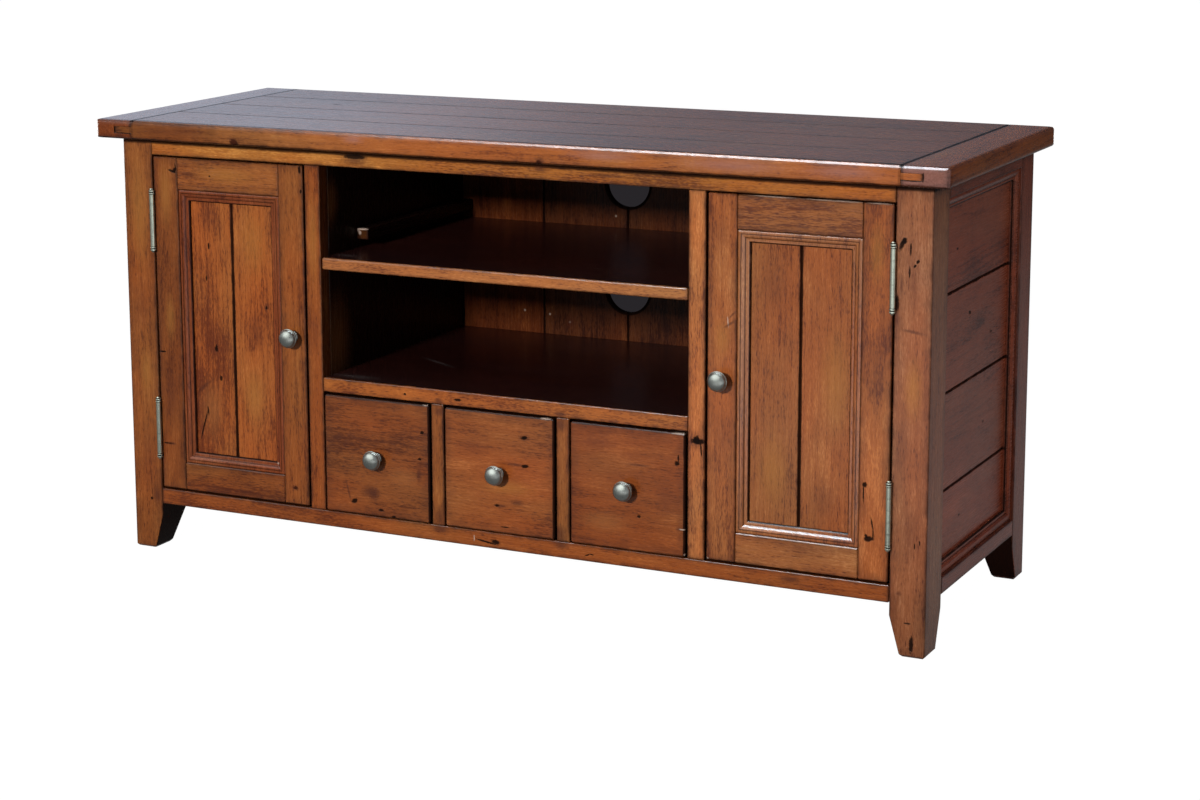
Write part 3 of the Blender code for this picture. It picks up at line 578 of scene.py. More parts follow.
    def mark(self, kind, middle_mm, reach_mm, turn):
        """One mark, turned about the direction that the node faces."""
        tint, strength, soft = MARK_KINDS[kind]
        mark = self.group(MARK, {"Place": self.spot, "Centre": tuple(value * MM for value in middle_mm),
                                 "Reach": tuple(value * MM for value in reach_mm), "Axis": AXES[self.face],
                                 "Angle": math.radians(turn), "Soft": soft})["Mark"]
        self.paint(self.times(mark, strength), tint)
        if kind == "hole":
            self.dents = mark if self.dents is None else self.math("MAXIMUM", self.dents, mark)

    def varnish(self, gloss, sheen):
        height = self.height
        black = self.black
        if self.dents is not None:
            height = self.plus(height, self.dents, DENT_HEIGHT)
            black = self.math("MAXIMUM", black, self.dents)
        rough = self.lean(gloss, self.fibre, FIBRE_ROUGHNESS)
        rough = self.math("MULTIPLY_ADD", self.dirt, DIRT_ROUGHNESS, rough, clamp=True)
        bump = self.add("Bump",
                        {"Strength": WOOD_BUMP, "Distance": WOOD_BUMP_DISTANCE, "Height": height})
        shader = self.add("BsdfPrincipled",
                          {"Base Color": self.shade, "Roughness": rough, "Normal": bump.outputs[0]})
        shader.inputs["IOR"].default_value = VARNISH_IOR
        level = self.plus(sheen, black, -BLACK_MATT * sheen)
        self.put(shader.inputs["Specular IOR Level"], level)
        self.surface(shader)


def wood_material(node, tones, grain, face, seed, level=1.0, planks=None, glaze=0.62, edge_mm=3.2,
                  seam_mm=4.0, blotch=1.05, rings=0.14, fibre=0.60, worms=True, lip=None, lines=(),
                  joints=(), inner_faces=(), gloss=0.27, sheen=0.5, sides=0.0, bands=(), bores=(),
                  vignette=0.34, pale_under=0.0):
    """Wood for one node. grain and face are the axes of its grain and of its face."""
    board = Board(node, grain, face, seed, planks)
    board.stain(tones, level, (blotch, rings, fibre), lip)
    board.darken_edges(glaze, edge_mm, vignette, bool(lip))
    for band in bands:
        board.band(*band)
    for bore in bores:
        board.bore(*bore)
    if lines or sides:
        board.find_outline()
    if sides:
        board.shade_gap_sides(sides)
    if pale_under:
        board.paint_under_sheen(pale_under)
    if planks:
        board.seams(seam_mm)
    for joint_x in joints:
        board.joint(joint_x)
    for direction in inner_faces:
        board.shade_foot_face(direction)
    for line in lines:
        board.mould_glaze_and_shade(*line)
    board.rub_edges(RUB_STRENGTH * min(level * tones[1][0] / RUB_TONE, 1.0))
    if worms:
        board.worm_holes()
    for mark in marks_on(node):
        board.mark(*mark)
    board.varnish(gloss, sheen)
    dress(node, board.material)


def dress(node, material):
    obj = nodes[node]
    if not obj.material_slots:
        obj.data.materials.append(material)
    for slot in obj.material_slots:
        slot.material = material


# Worn edges: width on wood and metal, and angles that count as flat and as an edge
WOOD_BEVEL = 0.0005
METAL_BEVEL = 0.0002
BEVEL_SEGMENTS = 2
SAME_POINT = 1e-6
FLAT_ANGLE = math.radians(0.6)
EDGE_ANGLE = math.radians(28.0)


def soften(node, width):
    """Joins the solid's triangles into faces and rounds its edges a little more, as use has."""
    modifiers = nodes[node].modifiers
    weld = modifiers.new("weld", "WELD")
    weld.merge_threshold = SAME_POINT
    flat = modifiers.new("faces", "DECIMATE")
    flat.decimate_type = "DISSOLVE"
    flat.angle_limit = FLAT_ANGLE
    bevel = modifiers.new("worn_edges", "BEVEL")
    bevel.width = width
    bevel.segments = BEVEL_SEGMENTS
    bevel.limit_method = "ANGLE"
    bevel.angle_limit = EDGE_ANGLE
    bevel.harden_normals = True
    bevel.use_clamp_overlap = True
    smooth = modifiers.new("shading", "WEIGHTED_NORMAL")
    smooth.keep_sharp = False


# Distance in from a moulding's outer edge, half width and strength of each dark line of glaze and painted
# shade
DOOR_MOULD_LINES = ((0.2, 0.8, 0.50), (4.6, 0.9, 0.75), (9.4, 1.0, 0.60), (15.2, 1.9, 0.97))
SIDE_MOULD_LINES = ((0.3, 0.8, 0.60), (10.4, 0.9, 0.50), (14.4, 1.8, 0.97))

# Where the marked faces lie, in the direction that they face
SLAB_FRONT_MM = -215
DRAWER_MM = -191
FRAME_MM = -189
MOULDING_MM = -186
PANEL_MM = -180
CLEAT_MM = -95
BACK_MM = 203
SLAB_TOP_MM = 600
SHELF_MM = 429.5
DECK_MM = 268.5
SIDE_MM = 561
PARTITION_MM = -263
MARK_DEPTH_MM = 6

# Marks on faces that look forward: kind, x, z, half sizes and any turn in degrees
FRONT_MARKS = {
    # The pale patches right of the slab front's middle are painted sheen, the one at the left is bloom
    "top_panel": (SLAB_FRONT_MM, [("bloom", -195, 592, 16, 5), ("bloom", 160, 590, 46, 6),
        ("bloom", 330, 588, 70, 8), ("bloom", 470, 588, 50, 8), ("shade", -470, 588, 60, 8),
        ("hole", -376.6, 577.5, 5.6, 5, 20), ("stain", -378, 580, 8, 7), ("hole", 72.1, 577, 3.6, 2.6),
        ("stain", 74, 580, 7, 5)]),
    "top_end_left": (SLAB_FRONT_MM, [("stain", -560, 579, 7, 5), ("hole", -567.5, 587, 0.9, 4.4),
        ("hole", -553, 582.6, 13, 0.7)]),
    "top_end_right": (SLAB_FRONT_MM, [("hole", 567.6, 587.4, 1.2, 4.6), ("hole", 553, 582.4, 14, 0.8),
        ("stain", 560, 577, 20, 2)]),
    "post_front_left": (FRAME_MM, [("gold", -550, 470, 13, 70), ("gold", -547, 250, 10, 30),
        ("shade", -552, 340, 12, 36), ("shade", -548, 140, 14, 46), ("hole", -544.8, 71, 2, 1.8),
        ("stain", -536, 76, 8, 14), ("stain", -552, 300, 2, 9, 6)]),
    "post_front_right": (FRAME_MM, [("shade", 552, 470, 14, 50), ("shade", 540, 260, 8, 40),
        ("gold", 552, 330, 11, 36), ("shade", 552, 150, 14, 40), ("hole", 535.6, 503.5, 2.5, 7.6, -25),
        ("hole", 537.8, 507.5, 2.8, 3.4, -25), ("hole", 545.9, 498, 1, 7),
        ("hole", 555, 483.4, 1.6, 2.6, -30), ("hole", 551.3, 478.3, 1.3, 2, -30),
        ("hole", 545, 470, 1, 6), ("stain", 535.5, 455, 1.6, 12), ("hole", 530, 432, 2.6, 9),
        ("stain", 530.2, 414, 3.2, 11), ("stain", 551, 399.5, 16, 2.2, -8),
        ("hole", 556, 17, 2.4, 9.8, -2), ("hole", 551, 42.9, 4, 0.9), ("stain", 539.1, 78.7, 4, 3),
        ("hole", 557.7, 139.6, 0.7, 3.2), ("hole", 563.9, 144.4, 0.7, 2.8)]),
    "left_door_hinge_stile": (FRAME_MM, [("gold", -506, 500, 11, 42), ("gold", -504, 330, 8, 30),
        ("shade", -506, 220, 12, 40), ("hole", -494, 531, 6, 1.6, -16), ("hole", -490, 533, 2.2, 2.6),
        ("hole", -488.5, 537, 0.8, 5, 8), ("hole", -518.5, 281, 4.8, 1.2),
        ("hole", -513.5, 152.6, 7, 1.1), ("stain", -508, 152.6, 8, 2.4)]),
    "left_door_top_rail": (FRAME_MM, [("gold", -410, 530, 50, 11), ("stain", -470, 528, 16, 4),
        ("hole", -434, 527.5, 1.3, 1.1)]),
    "left_door_lock_stile": (FRAME_MM, [("hole", -309.5, 112.4, 2.6, 2.2),
        ("stain", -309.5, 112.4, 6, 4), ("hole", -292.5, 544, 1.8, 4.4),
        ("hole", -291.3, 515.6, 1.4, 2.6)]),
    "left_door_panel": (PANEL_MM, [("gold", -372, 440, 20, 46), ("gold", -378, 230, 16, 34),
        ("shade", -372, 320, 18, 26), ("shade", -445, 470, 18, 20), ("hole", -444.5, 431, 1.3, 4),
        ("hole", -449.4, 386.4, 1.1, 3.6, 4), ("hole", -436.5, 290.6, 2.2, 4.6),
        ("hole", -430.3, 250, 1.9, 3.4), ("glow", -446, 205, 20, 42), ("stain", -458, 236, 18, 3, 40),
        ("stain", -470, 205, 3, 30, -8), ("hole", -452.6, 203, 1, 6, 6),
        ("hole", -459.5, 183, 1.1, 19, -17), ("stain", -354.6, 353.3, 3.6, 5),
        ("hole", -354.6, 353.3, 1.5, 2.2), ("hole", -342.8, 464.4, 1.6, 7)]),
    "right_door_lock_stile": (FRAME_MM, [("gold", 308, 372, 11, 24), ("shade", 310, 250, 12, 34),
        ("shade", 306, 500, 12, 24), ("chip", 315.7, 392, 0.7, 6, 6), ("stain", 318, 389.5, 11, 1.8, 32),
        ("stain", 321, 401, 8, 1.6, 45), ("chip", 290, 91.2, 1.6, 1.3)]),
    # The chips along the right door's top edge are painted highlights
    "right_door_top_rail": (FRAME_MM, [("chip", 372, 549.3, 28, 0.6), ("chip", 452, 549.3, 34, 0.7)]),
    "right_door_hinge_stile": (FRAME_MM, [("gold", 505, 490, 10, 36), ("shade", 506, 350, 12, 40),
        # The chip along this stile's top edge is a painted highlight
        ("chip", 507, 549.3, 14, 0.6), ("hole", 494.1, 208.3, 2.8, 2.8), ("hole", 492.6, 197, 0.8, 10),
        ("hole", 504.2, 160.5, 0.8, 8, 11), ("hole", 505.6, 148, 0.8, 6.5),
        ("hole", 500.1, 141.9, 5.4, 3, 10), ("hole", 497, 145, 1.6, 2.6, 30)]),
    "face_stile_right": (FRAME_MM, [("stain", 275, 238.4, 12, 10), ("hole", 277, 238.6, 9, 3.2),
        ("hole", 275, 240, 4, 5), ("hole", 281, 229, 0.9, 9, 6)]),
    "drawer_left_front": (DRAWER_MM, [("stain", -192, 121, 14, 9), ("stain", -186, 118, 8, 10),
        ("stain", -226, 120, 1.6, 16, 14), ("glow", -140, 146, 26, 15), ("stain", -118, 152, 4, 12),
        ("hole", -216.4, 106, 4.4, 2.8, 30), ("hole", -112.6, 209.4, 2.6, 2.2),
        ("hole", -116.6, 173.6, 2.2, 1.6), ("hole", -176, 98, 3.4, 1.5),
        # The chip at this drawer's top right corner is a painted highlight
        ("hole", -156.8, 90.6, 3.4, 1.6), ("chip", -108, 246.6, 3, 1.2)]),
    "drawer_middle_front": (DRAWER_MM, [("shade", -40, 200, 24, 12), ("gold", 10, 150, 40, 10),
        ("stain", 36.8, 218.1, 9, 4.4), ("hole", 36.8, 218.1, 4.4, 2.2, 12),
        ("stain", 24, 181.5, 18, 2.2), ("hole", 37.9, 180.8, 4.4, 2.2, 8), ("stain", 2, 124.6, 10, 2.4),
        ("hole", -3.1, 124.6, 3, 1.6), ("stain", 26, 131, 10, 4), ("hole", 8, 97, 5.5, 0.9),
        # The chip at this drawer's top right corner is a painted highlight
        ("chip", 67, 246.4, 7, 1.3)]),
    "drawer_right_front": (DRAWER_MM, [("shade", 140, 225, 30, 12), ("shade", 235, 160, 14, 24),
        ("hole", 249.7, 208.1, 3, 2.6), ("hole", 251.5, 215, 1, 4), ("hole", 198, 134, 2.2, 1.8),
        ("stain", 196, 200, 18, 2.2), ("glow", 150, 122, 34, 14), ("stain", 254, 124, 7, 2),
        # The last chip, at this drawer's top right corner, is a painted highlight
        ("chip", 257, 124, 4, 0.9), ("chip", 260.5, 91.6, 1.5, 1.2), ("chip", 252, 246.2, 9, 1.3)]),
    "face_bottom_rail": (FRAME_MM, [("hole", -20, 73.4, 15, 1.2, -8), ("hole", -6.5, 75, 6, 2.6, -8),
        ("chip", -38, 76.5, 0.8, 4), ("stain", -88, 82, 12, 6), ("stain", 88, 82, 12, 6),
        ("hole", 125, 74, 4, 0.8, 25), ("hole", 131, 75.5, 2.4, 0.8, -10), ("stain", 400, 78, 16, 4)]),
    "drawer_deck": (FRAME_MM, [("hole", -60, 258, 5, 1.6, -8), ("stain", -88, 253, 7, 5),
        ("stain", 88, 254, 8, 5), ("hole", -138.2, 258.2, 1.8, 1.4)]),
    "left_door_moulding": (MOULDING_MM, [("chip", -339.4, 142.2, 1.6, 1.6)]),
    "face_top_rail": (FRAME_MM, [("stain", -208, 560, 22, 6), ("hole", -208, 566, 16, 3),
        ("stain", 61, 565, 12, 5), ("stain", 150, 562, 30, 3)]),
    "drawer_divider_left": (FRAME_MM, [("stain", -88, 98, 9, 16), ("stain", -88, 240, 9, 7)]),
    "drawer_divider_right": (FRAME_MM, [("stain", 88, 97, 9, 12), ("stain", 88, 240, 9, 9)]),
    # The back panel's chips paint the glints of nail heads
    "back_panel": (BACK_MM, [("chip", -162.7, 299.1, 1.5, 1.5), ("chip", -122.6, 296.6, 1.5, 1.5),
        ("chip", -90.9, 287.6, 1.6, 1.5), ("chip", -18.6, 444.8, 1.5, 1.5),
        ("stain", -90.9, 287.6, 6, 10)]),
    # The cleat's chips: worn spots on its end, and a painted highlight along its top edge
    "spare_cleat_left": (CLEAT_MM, [("chip", -260, 453, 1.6, 3), ("chip", -253, 454.4, 8, 1.2),
        ("chip", -258, 449, 2, 2.4, 30)]),
    "face_stile_left": (FRAME_MM, [("gold", -274, 455, 8, 60), ("shade", -274, 330, 9, 30)]),
    "right_door_panel": (PANEL_MM, [("gold", 452, 330, 20, 60), ("gold", 372, 210, 20, 46),
        ("shade", 372, 440, 20, 34), ("shade", 440, 180, 18, 26)]),
    "right_door_bottom_rail": (FRAME_MM, [("shade", 420, 118, 40, 8)]),
}
# Marks on faces that look up: kind, x, y, half sizes and any turn
TOP_MARKS = {
    "top_panel": (SLAB_TOP_MM, [("hole", -382, 59.6, 7, 3), ("hole", -455.8, -107.7, 3, 2),
        ("hole", -437.5, -82, 2.6, 1.8), ("stain", -120, -30, 22, 5)]),
    "drawer_deck": (DECK_MM, [("dust", -225, -165, 34, 9), ("dust", -170, -40, 40, 4, 30)]),
    "shelf": (SHELF_MM, [("dust", -238, -160, 20, 8)]),
}
# Marks on faces that look aside: kind, y, z, half sizes and any turn
SIDE_MARKS = {
    "partition_left": (PARTITION_MM, [("glow", -150, 310, 34, 60), ("glow", -160, 500, 18, 30)]),
    "side_panel_right": (SIDE_MM, [("hole", -5, 392, 4.5, 2, 15), ("stain", 40, 372, 18, 5, 10),
        ("hole", 84, 352, 3, 1.4), ("hole", -60, 480, 3, 1.3), ("hole", 60, 240, 2.4, 1.6),
        ("hole", -30, 140, 2.6, 1.4)]),
}


def marks_on(node):
    """Every mark of a node as its kind, middle, half sizes and turn."""
    found = []
    for normal, table in enumerate((SIDE_MARKS, FRONT_MARKS, TOP_MARKS)):
        depth, rows = table.get(node, (0, ()))
        for kind, first, second, half_first, half_second, *turn in rows:
            middle = [first, second]
            middle.insert(normal, depth)
            reach = [half_first, half_second]
            reach.insert(normal, MARK_DEPTH_MM)
            found.append((kind, middle, reach, turn[0] if turn else 0))
    return found


# Darkening that deepens along an axis: where it starts, where it is full, and its strength
# Painted shade at the lower edge of the slab's front
SLAB_FOOT_SHADE = ("Z", 0.5772, 0.5752, 0.85)
SLAB_LEFT = ("X", -0.20, -0.52, 0.48)
# Painted shadow of the slab's overhang on what stands under it
SLAB_SHADOW = ("Z", 0.5650, 0.5680, 0.88)
FOOT_SHADE = ("Z", 0.120, 0.020, 0.20)
# Depth of the front lip that keeps the outer stain
SLAB_LIP = 0.0062
SHELF_LIP = 0.004
CLEAT_LIP = 0.0008
# Edges of the face frame and of the doors, with painted shade on their sides at the gaps
FRAME_EDGES = {"edge_mm": 3.0, "sides": 0.85}
DOOR_EDGES = {"edge_mm": 3.0, "sides": 0.9}
# Wider than half a door panel, so that one seam shows, in its middle
DOOR_PLANK_MM = 200.0


def wood(node, *choices, **options):
    wood_material(node, *choices, **options)
    # A side panel carries its moulding, whose faces are kept as they are
    if not node.startswith("side_panel"):
        soften(node, WOOD_BEVEL)


def dress_top():
    left_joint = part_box("top_end_left")[1][0]
    right_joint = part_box("top_end_right")[0][0]
    wood("top_panel", FRONT, "X", "Z", 11, planks=(-101.5, 105.5), seam_mm=3.0,
         joints=(left_joint, right_joint), lip=(tinted(FRONT, 1.0, 1.12, 1.25), 1.38, SLAB_LIP),
         fibre=0.5, bands=(SLAB_FOOT_SHADE, SLAB_LEFT))
    wood("top_end_left", FRONT, "Y", "Z", 12, level=0.50, joints=(left_joint,),
         lip=(tinted(FRONT, 1.0, 0.86, 0.80), 0.62, SLAB_LIP), fibre=0.5, bands=(SLAB_FOOT_SHADE,))
    wood("top_end_right", FRONT, "Y", "Z", 13, level=0.92, joints=(right_joint,),
         lip=(END_GRAIN_AND_SHEEN, 1.12, SLAB_LIP), fibre=0.4, bands=(SLAB_FOOT_SHADE,))


def dress_case():
    wood("post_front_left", FRONT, "Z", "Y", 21, level=1.05, inner_faces=(RIGHTWARD,),
         bands=(SLAB_SHADOW, FOOT_SHADE))
    # Bluer than the left post, to paint the sheen on the right front
    wood("post_front_right", tinted(FRONT, 1.0, 1.15, 2.00), "Z", "Y", 22, level=0.94,
         inner_faces=(LEFTWARD,), bands=(SLAB_SHADOW, FOOT_SHADE))
    wood("post_rear_left", SIDE, "Z", "X", 23, inner_faces=(FORWARD, RIGHTWARD), fibre=0.5)
    wood("post_rear_right", SIDE, "Z", "X", 24, inner_faces=(FORWARD, LEFTWARD), fibre=0.5)
    wood("face_top_rail", tinted(FRONT, 1.0, 1.12, 0.90), "X", "Y", 31, level=1.50,
         bands=(SLAB_SHADOW,), **FRAME_EDGES)
    wood("face_bottom_rail", FRONT, "X", "Y", 32, level=1.08, **FRAME_EDGES)
    wood("face_stile_left", FRONT, "Z", "Y", 33, level=1.06, edge_mm=3.0, sides=0.45)
    # Brighter and bluer than the left stile, to paint the light and sheen on the right front
    wood("face_stile_right", tinted(FRONT, 1.0, 1.20, 1.60), "Z", "Y", 34, level=1.72, **FRAME_EDGES)
    for number, name in enumerate(("left", "right")):
        wood("side_top_rail_" + name, SIDE, "Y", "X", 41 + number, edge_mm=4.0, fibre=0.45)
        wood("side_bottom_rail_" + name, SIDE, "Y", "X", 43 + number, edge_mm=4.0, fibre=0.45)
        wood("side_panel_" + name, SIDE, "Y", "X", 45 + number, level=1.18, planks=(185.2, 122.0),
             glaze=0.0, seam_mm=2.8, lines=SIDE_MOULD_LINES, fibre=0.45, vignette=0.12,
             pale_under=0.75, sheen=0.36)
        wood("partition_" + name, INSIDE_IN_SHADE, "Z", "X", 47 + number, worms=False, sheen=0.2)
        wood("drawer_divider_" + name, tinted(FRONT, 1.0, 1.12, 1.20), "Z", "Y", 49 + number,
             **FRAME_EDGES)
        wood("shelf_cleat_" + name, INSIDE_IN_SHADE, "Y", "X", 51 + number, worms=False)
        wood("spare_cleat_" + name, INSIDE_IN_SHADE, "Y", "X", 53 + number, level=0.6, worms=False, sheen=0.3,
             lip=(FRONT, 0.3, CLEAT_LIP))
    wood("back_panel", BACK_IN_SHADE, "Z", "Y", 61, level=1.5, planks=(0.0, 131.5), seam_mm=2.4, sheen=0.15,
         blotch=1.5, bores=[(0.0, height * MM, HOLE_RADIUS_MM * MM) for height in HOLE_HEIGHTS_MM])
    wood("case_floor", INSIDE_IN_SHADE, "X", "Z", 62, worms=False)
    wood("drawer_deck", SHELF_IN_SHADE, "X", "Z", 63, lip=(tinted(FRONT, 1.0, 1.08, 1.0), 1.52, SHELF_LIP),
         edge_mm=2.0, gloss=0.22, blotch=0.8)
    wood("shelf", SHELF_IN_SHADE, "X", "Z", 64, lip=(tinted(FRONT, 1.0, 1.30, 1.80), 1.62, SHELF_LIP),
         edge_mm=1.6, gloss=0.22, blotch=0.7)


# Painted gap shade in from a drawer front's right and top edge: where it starts, where it is full, and its
# strength
DRAWER_RIGHT_SHADE = (0.0030, 0.0018, 0.92)
DRAWER_TOP_SHADE = (0.0026, 0.0015, 0.80)


def edge_band(axis, edge, start, full, strength):
    return axis, edge - start, edge - full, strength


def dress_drawers():
    for number, (name, level) in enumerate((("left", 1.0), ("middle", 1.18), ("right", 0.98))):
        drawer = "drawer_" + name
        right, _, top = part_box(drawer + "_front")[1]
        wood(drawer + "_front", RED, "X", "Y", 71 + number, level=level, rings=0.10, sides=0.9,
             bands=(edge_band("X", right, *DRAWER_RIGHT_SHADE), edge_band("Z", top, *DRAWER_TOP_SHADE)))
        wood(drawer + "_box", BARE, "X", "Y", 74 + number, worms=False, glaze=0.3, gloss=0.5)


# Each door's stains: hinge stile, moulding and the rest; the left moulding is dulled as painted shade, the
# right door bluer as painted sheen
DOOR_STAINS_AND_LIGHT = {
    "left": (tinted(FRONT, 1.05, 0.92, 0.88), tinted(FRONT, 0.82, 0.74, 1.05), FRONT),
    "right": (tinted(FRONT, 1.0, 1.10, 1.42),) * 3,
}
# Each door's levels: hinge and lock stile, top and bottom rail, panel, moulding, and its sheen; the right
# door's stiles, bottom rail and moulding are brighter than the left's as painted light
DOOR_LEVELS = {
    "left": (0.79, 1.08, 1.22, 0.95, 1.36, 0.95, 0.4),
    "right": (1.30, 1.38, 1.26, 1.26, 1.18, 1.26, 1.0),
}


def dress_doors():
    for number, name in enumerate(("left", "right")):
        door = name + "_door_"
        outer, hollow, stain = DOOR_STAINS_AND_LIGHT[name]
        hinge, lock, top, bottom, panel, moulding, sheen = DOOR_LEVELS[name]
        low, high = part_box(door + "panel")
        middle_mm = (low[0] + high[0]) / 2 / MM
        wood(door + "hinge_stile", outer, "Z", "Y", 81 + number, level=hinge, **DOOR_EDGES)
        wood(door + "lock_stile", stain, "Z", "Y", 83 + number, level=lock, **DOOR_EDGES)
        wood(door + "top_rail", stain, "X", "Y", 85 + number, level=top, **DOOR_EDGES)
        wood(door + "bottom_rail", stain, "X", "Y", 87 + number, level=bottom, **DOOR_EDGES)
        wood(door + "panel", stain, "Z", "Y", 89 + number, level=panel,
             planks=(middle_mm, DOOR_PLANK_MM), seam_mm=3.4)
        wood(door + "moulding", hollow, "Z", "Y", 91 + number, level=moulding, worms=False, glaze=0.0,
             gloss=0.16, sheen=sheen, vignette=0.0, lines=DOOR_MOULD_LINES)


# Each metal's plain, rubbed and tarnished colour; the rubbed colour also paints the highlight on a hinge
# barrel's turned ends
PEWTER = (colour(0.185, 0.192, 0.175), colour(0.35, 0.36, 0.33), colour(0.095, 0.097, 0.085))
BRASS = (colour(0.225, 0.235, 0.160), colour(0.50, 0.53, 0.44), colour(0.050, 0.042, 0.026))
# Tarnish: waves per metre, detail and roughness of its clouds and specks, and limits
CLOUDS = (130.0, 3.0, 0.6)
SPECKS = (900.0, 2.0, 0.6)
CLOUD_LIMITS = (0.35, 0.70)
SPECK_LIMITS = (0.58, 0.70)
SPECK_STRENGTH = 0.35
# How sharply an edge stands out where it is rubbed bright
RAISED_LIMITS = (0.47, 0.56)
RAISED_STRENGTH = 0.65
METAL_ROUGHNESS = 0.36
METAL_UNEVEN = 0.20
METAL_BUMP = 0.25
METAL_BUMP_DISTANCE = 0.0004
SPECK_HEIGHT = 0.5
# A hinge barrel's turned ends, painted bright as their highlight: limits, strength, and grooves, dark with
# painted shade and tarnish, by middle and half width
TURNED_HIGHLIGHT_LIMITS = (0.0082, 0.0078)
TURNED_HIGHLIGHT_STRENGTH = 0.8
RING_GROOVES_MM = ((2.1, 0.8), (5.3, 0.8), (8.0, 0.6))
GROOVE_CORE = 0.6
GROOVE_SHADE_AND_TARNISH = 0.97


def metal_material(node, finish, tones, turned=False):
    """Aged cast metal: bright where it is rubbed, dull in clouds; a hinge barrel's turned ends painted
    bright as their highlight, with painted shade and tarnish in their grooves.
    """
    plain, rubbed_and_lit, dull = tones
    material = new_material(node + finish)
    net = Net(material.node_tree)
    spot = net.place()
    cloud = net.noise(spot, *CLOUDS)
    speck = net.noise(spot, *SPECKS)
    point = net.add("NewGeometry").outputs["Pointiness"]
    shade = net.blend(net.fade(cloud, *CLOUD_LIMITS), plain, dull)
    shade = net.blend(net.times(net.fade(point, *RAISED_LIMITS), RAISED_STRENGTH), shade, rubbed_and_lit)
    shade = net.blend(net.times(net.fade(speck, *SPECK_LIMITS), SPECK_STRENGTH), shade, dull)
    if turned:
        low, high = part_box(node)
        z = net.parts(spot)[2]
        inward = net.math("MINIMUM", net.minus(z, low[2]), net.minus(high[2], z))
        shade = net.blend(net.fade(inward, *TURNED_HIGHLIGHT_LIMITS, 0.0, TURNED_HIGHLIGHT_STRENGTH), shade, rubbed_and_lit)
        for middle_mm, half_mm in RING_GROOVES_MM:
            off = net.math("ABSOLUTE", net.minus(inward, middle_mm * MM))
            groove = net.fade(off, half_mm * MM, half_mm * MM * GROOVE_CORE, 0.0, GROOVE_SHADE_AND_TARNISH)
            shade = net.blend(groove, shade, HOLE)
    height = net.math("ADD", net.times(speck, SPECK_HEIGHT), cloud)
    bump = net.add("Bump",
                   {"Strength": METAL_BUMP, "Distance": METAL_BUMP_DISTANCE, "Height": height})
    shader = net.add("BsdfPrincipled",
                     {"Base Color": shade, "Roughness": net.lean(METAL_ROUGHNESS, cloud, METAL_UNEVEN),
                      "Normal": bump.outputs[0]})
    shader.inputs["Metallic"].default_value = 1.0
    net.surface(shader)
    dress(node, material)


def is_metal(node):
    return node.endswith(("_knob", "_leaf"))


def dress_metal():
    for node in nodes:
        if node.endswith("_knob"):
            metal_material(node, "_pewter", PEWTER)
            soften(node, METAL_BEVEL)
        elif is_metal(node):
            # The leaves keep their plain mesh, because a bevel folds slivers at the knuckles
            metal_material(node, "_brass", BRASS, turned=node.endswith("fixed_leaf"))


# Each lamp's place, aim, power in watts, width, height and tint
LAMPS = {
    "key": ((-0.45, -5.9, 2.15), (0.0, 0.0, 0.35), 285.0, 0.55, 0.55, (1.0, 0.97, 0.93)),
    "right_fill": ((2.9, -2.2, 1.9), (0.57, 0.0, 0.35), 43.0, 1.3, 1.3, (1.0, 0.96, 0.92)),
    "edge_light": ((0.05, -1.0, 2.6), (0.05, -1.0, 0.4), 560.0, 2.1, 1.9, (0.74, 0.89, 1.0)),
    "left_fill": ((-2.8, 0.35, 0.30), (-0.57, 0.05, 0.30), 26.0, 1.4, 0.5, (1.0, 0.96, 0.92)),
    "rear_fill": ((-0.4, 2.9, 0.30), (0.0, 0.21, 0.30), 40.0, 1.6, 0.5, (1.0, 0.97, 0.94)),
}


def add_lamp(name):
    place, aim, power, width, height, tint = LAMPS[name]
    data = bpy.data.lights.new(name, "AREA")
    data.energy = power
    data.color = tint
    data.shape = "RECTANGLE"
    data.size = width
    data.size_y = height
    lamp = add_object(name, data)
    lamp.location = place
    lamp.rotation_mode = "QUATERNION"
    lamp.rotation_quaternion = (Vector(aim) - Vector(place)).to_track_quat("-Z", "Y")
    lamp.visible_camera = False
    return lamp


def shine_only(lamp, name, lit_nodes):
    """Barn doors: the lamp lights these nodes and no others."""
    lit = bpy.data.collections.new(name)
    for node in lit_nodes:
        lit.objects.link(nodes[node])
    lamp.light_linking.receiver_collection = lit


def make_lights():
    lamps = {name: add_lamp(name) for name in LAMPS}
    # The world shows the key's broad face in mirror images
    lamps["key"].visible_glossy = False
    # The light that draws the wood's rounded edges leaves the metal alone
    lamps["edge_light"].visible_diffuse = False
    shine_only(lamps["edge_light"], "varnished_wood", [node for node in nodes if not is_metal(node)])
    on_end = [node for node in nodes if node.startswith(("top_end", "post", "side"))]
    for end in ("left", "right"):
        lit_nodes = [node for node in on_end if node.endswith("_" + end)]
        shine_only(lamps[end + "_fill"], end + "_end", lit_nodes)
    on_rear = [node for node in nodes if node.startswith(("back_panel", "post_rear", "top_"))]
    shine_only(lamps["rear_fill"], "rear", on_rear)


WHITE = colour(1.0, 1.0, 1.0)
FLOOR_REACH = 20.0
FLOOR_SQUARES = 8
FLOOR_PAPER = colour(0.42, 0.42, 0.42)
# How much of the floor's own light the camera sees, and its strength
FLOOR_SEEN = 0.87
FLOOR_STRENGTH = 1.15
# The floor's mirror image: tint, strength near and far, and the bright part in front
FLOOR_IMAGE = colour(0.94, 0.97, 1.0)
FLOOR_MIRRORED = 0.30
FLOOR_FAR = 0.05
FLOOR_FADE_Y = (0.6, 4.2)
FLOOR_SHEEN = 1.7
FLOOR_SHEEN_X = (-1.0, 0.3)
FLOOR_SHEEN_Y = (-0.5, -1.2)


def ray_kinds(net):
    """1 for rays from the camera, and 1 for rays of mirror images or through glass."""
    path = net.add("LightPath").outputs
    return path["Is Camera Ray"], net.math("MAXIMUM", path["Is Glossy Ray"], path["Is Transmission Ray"])


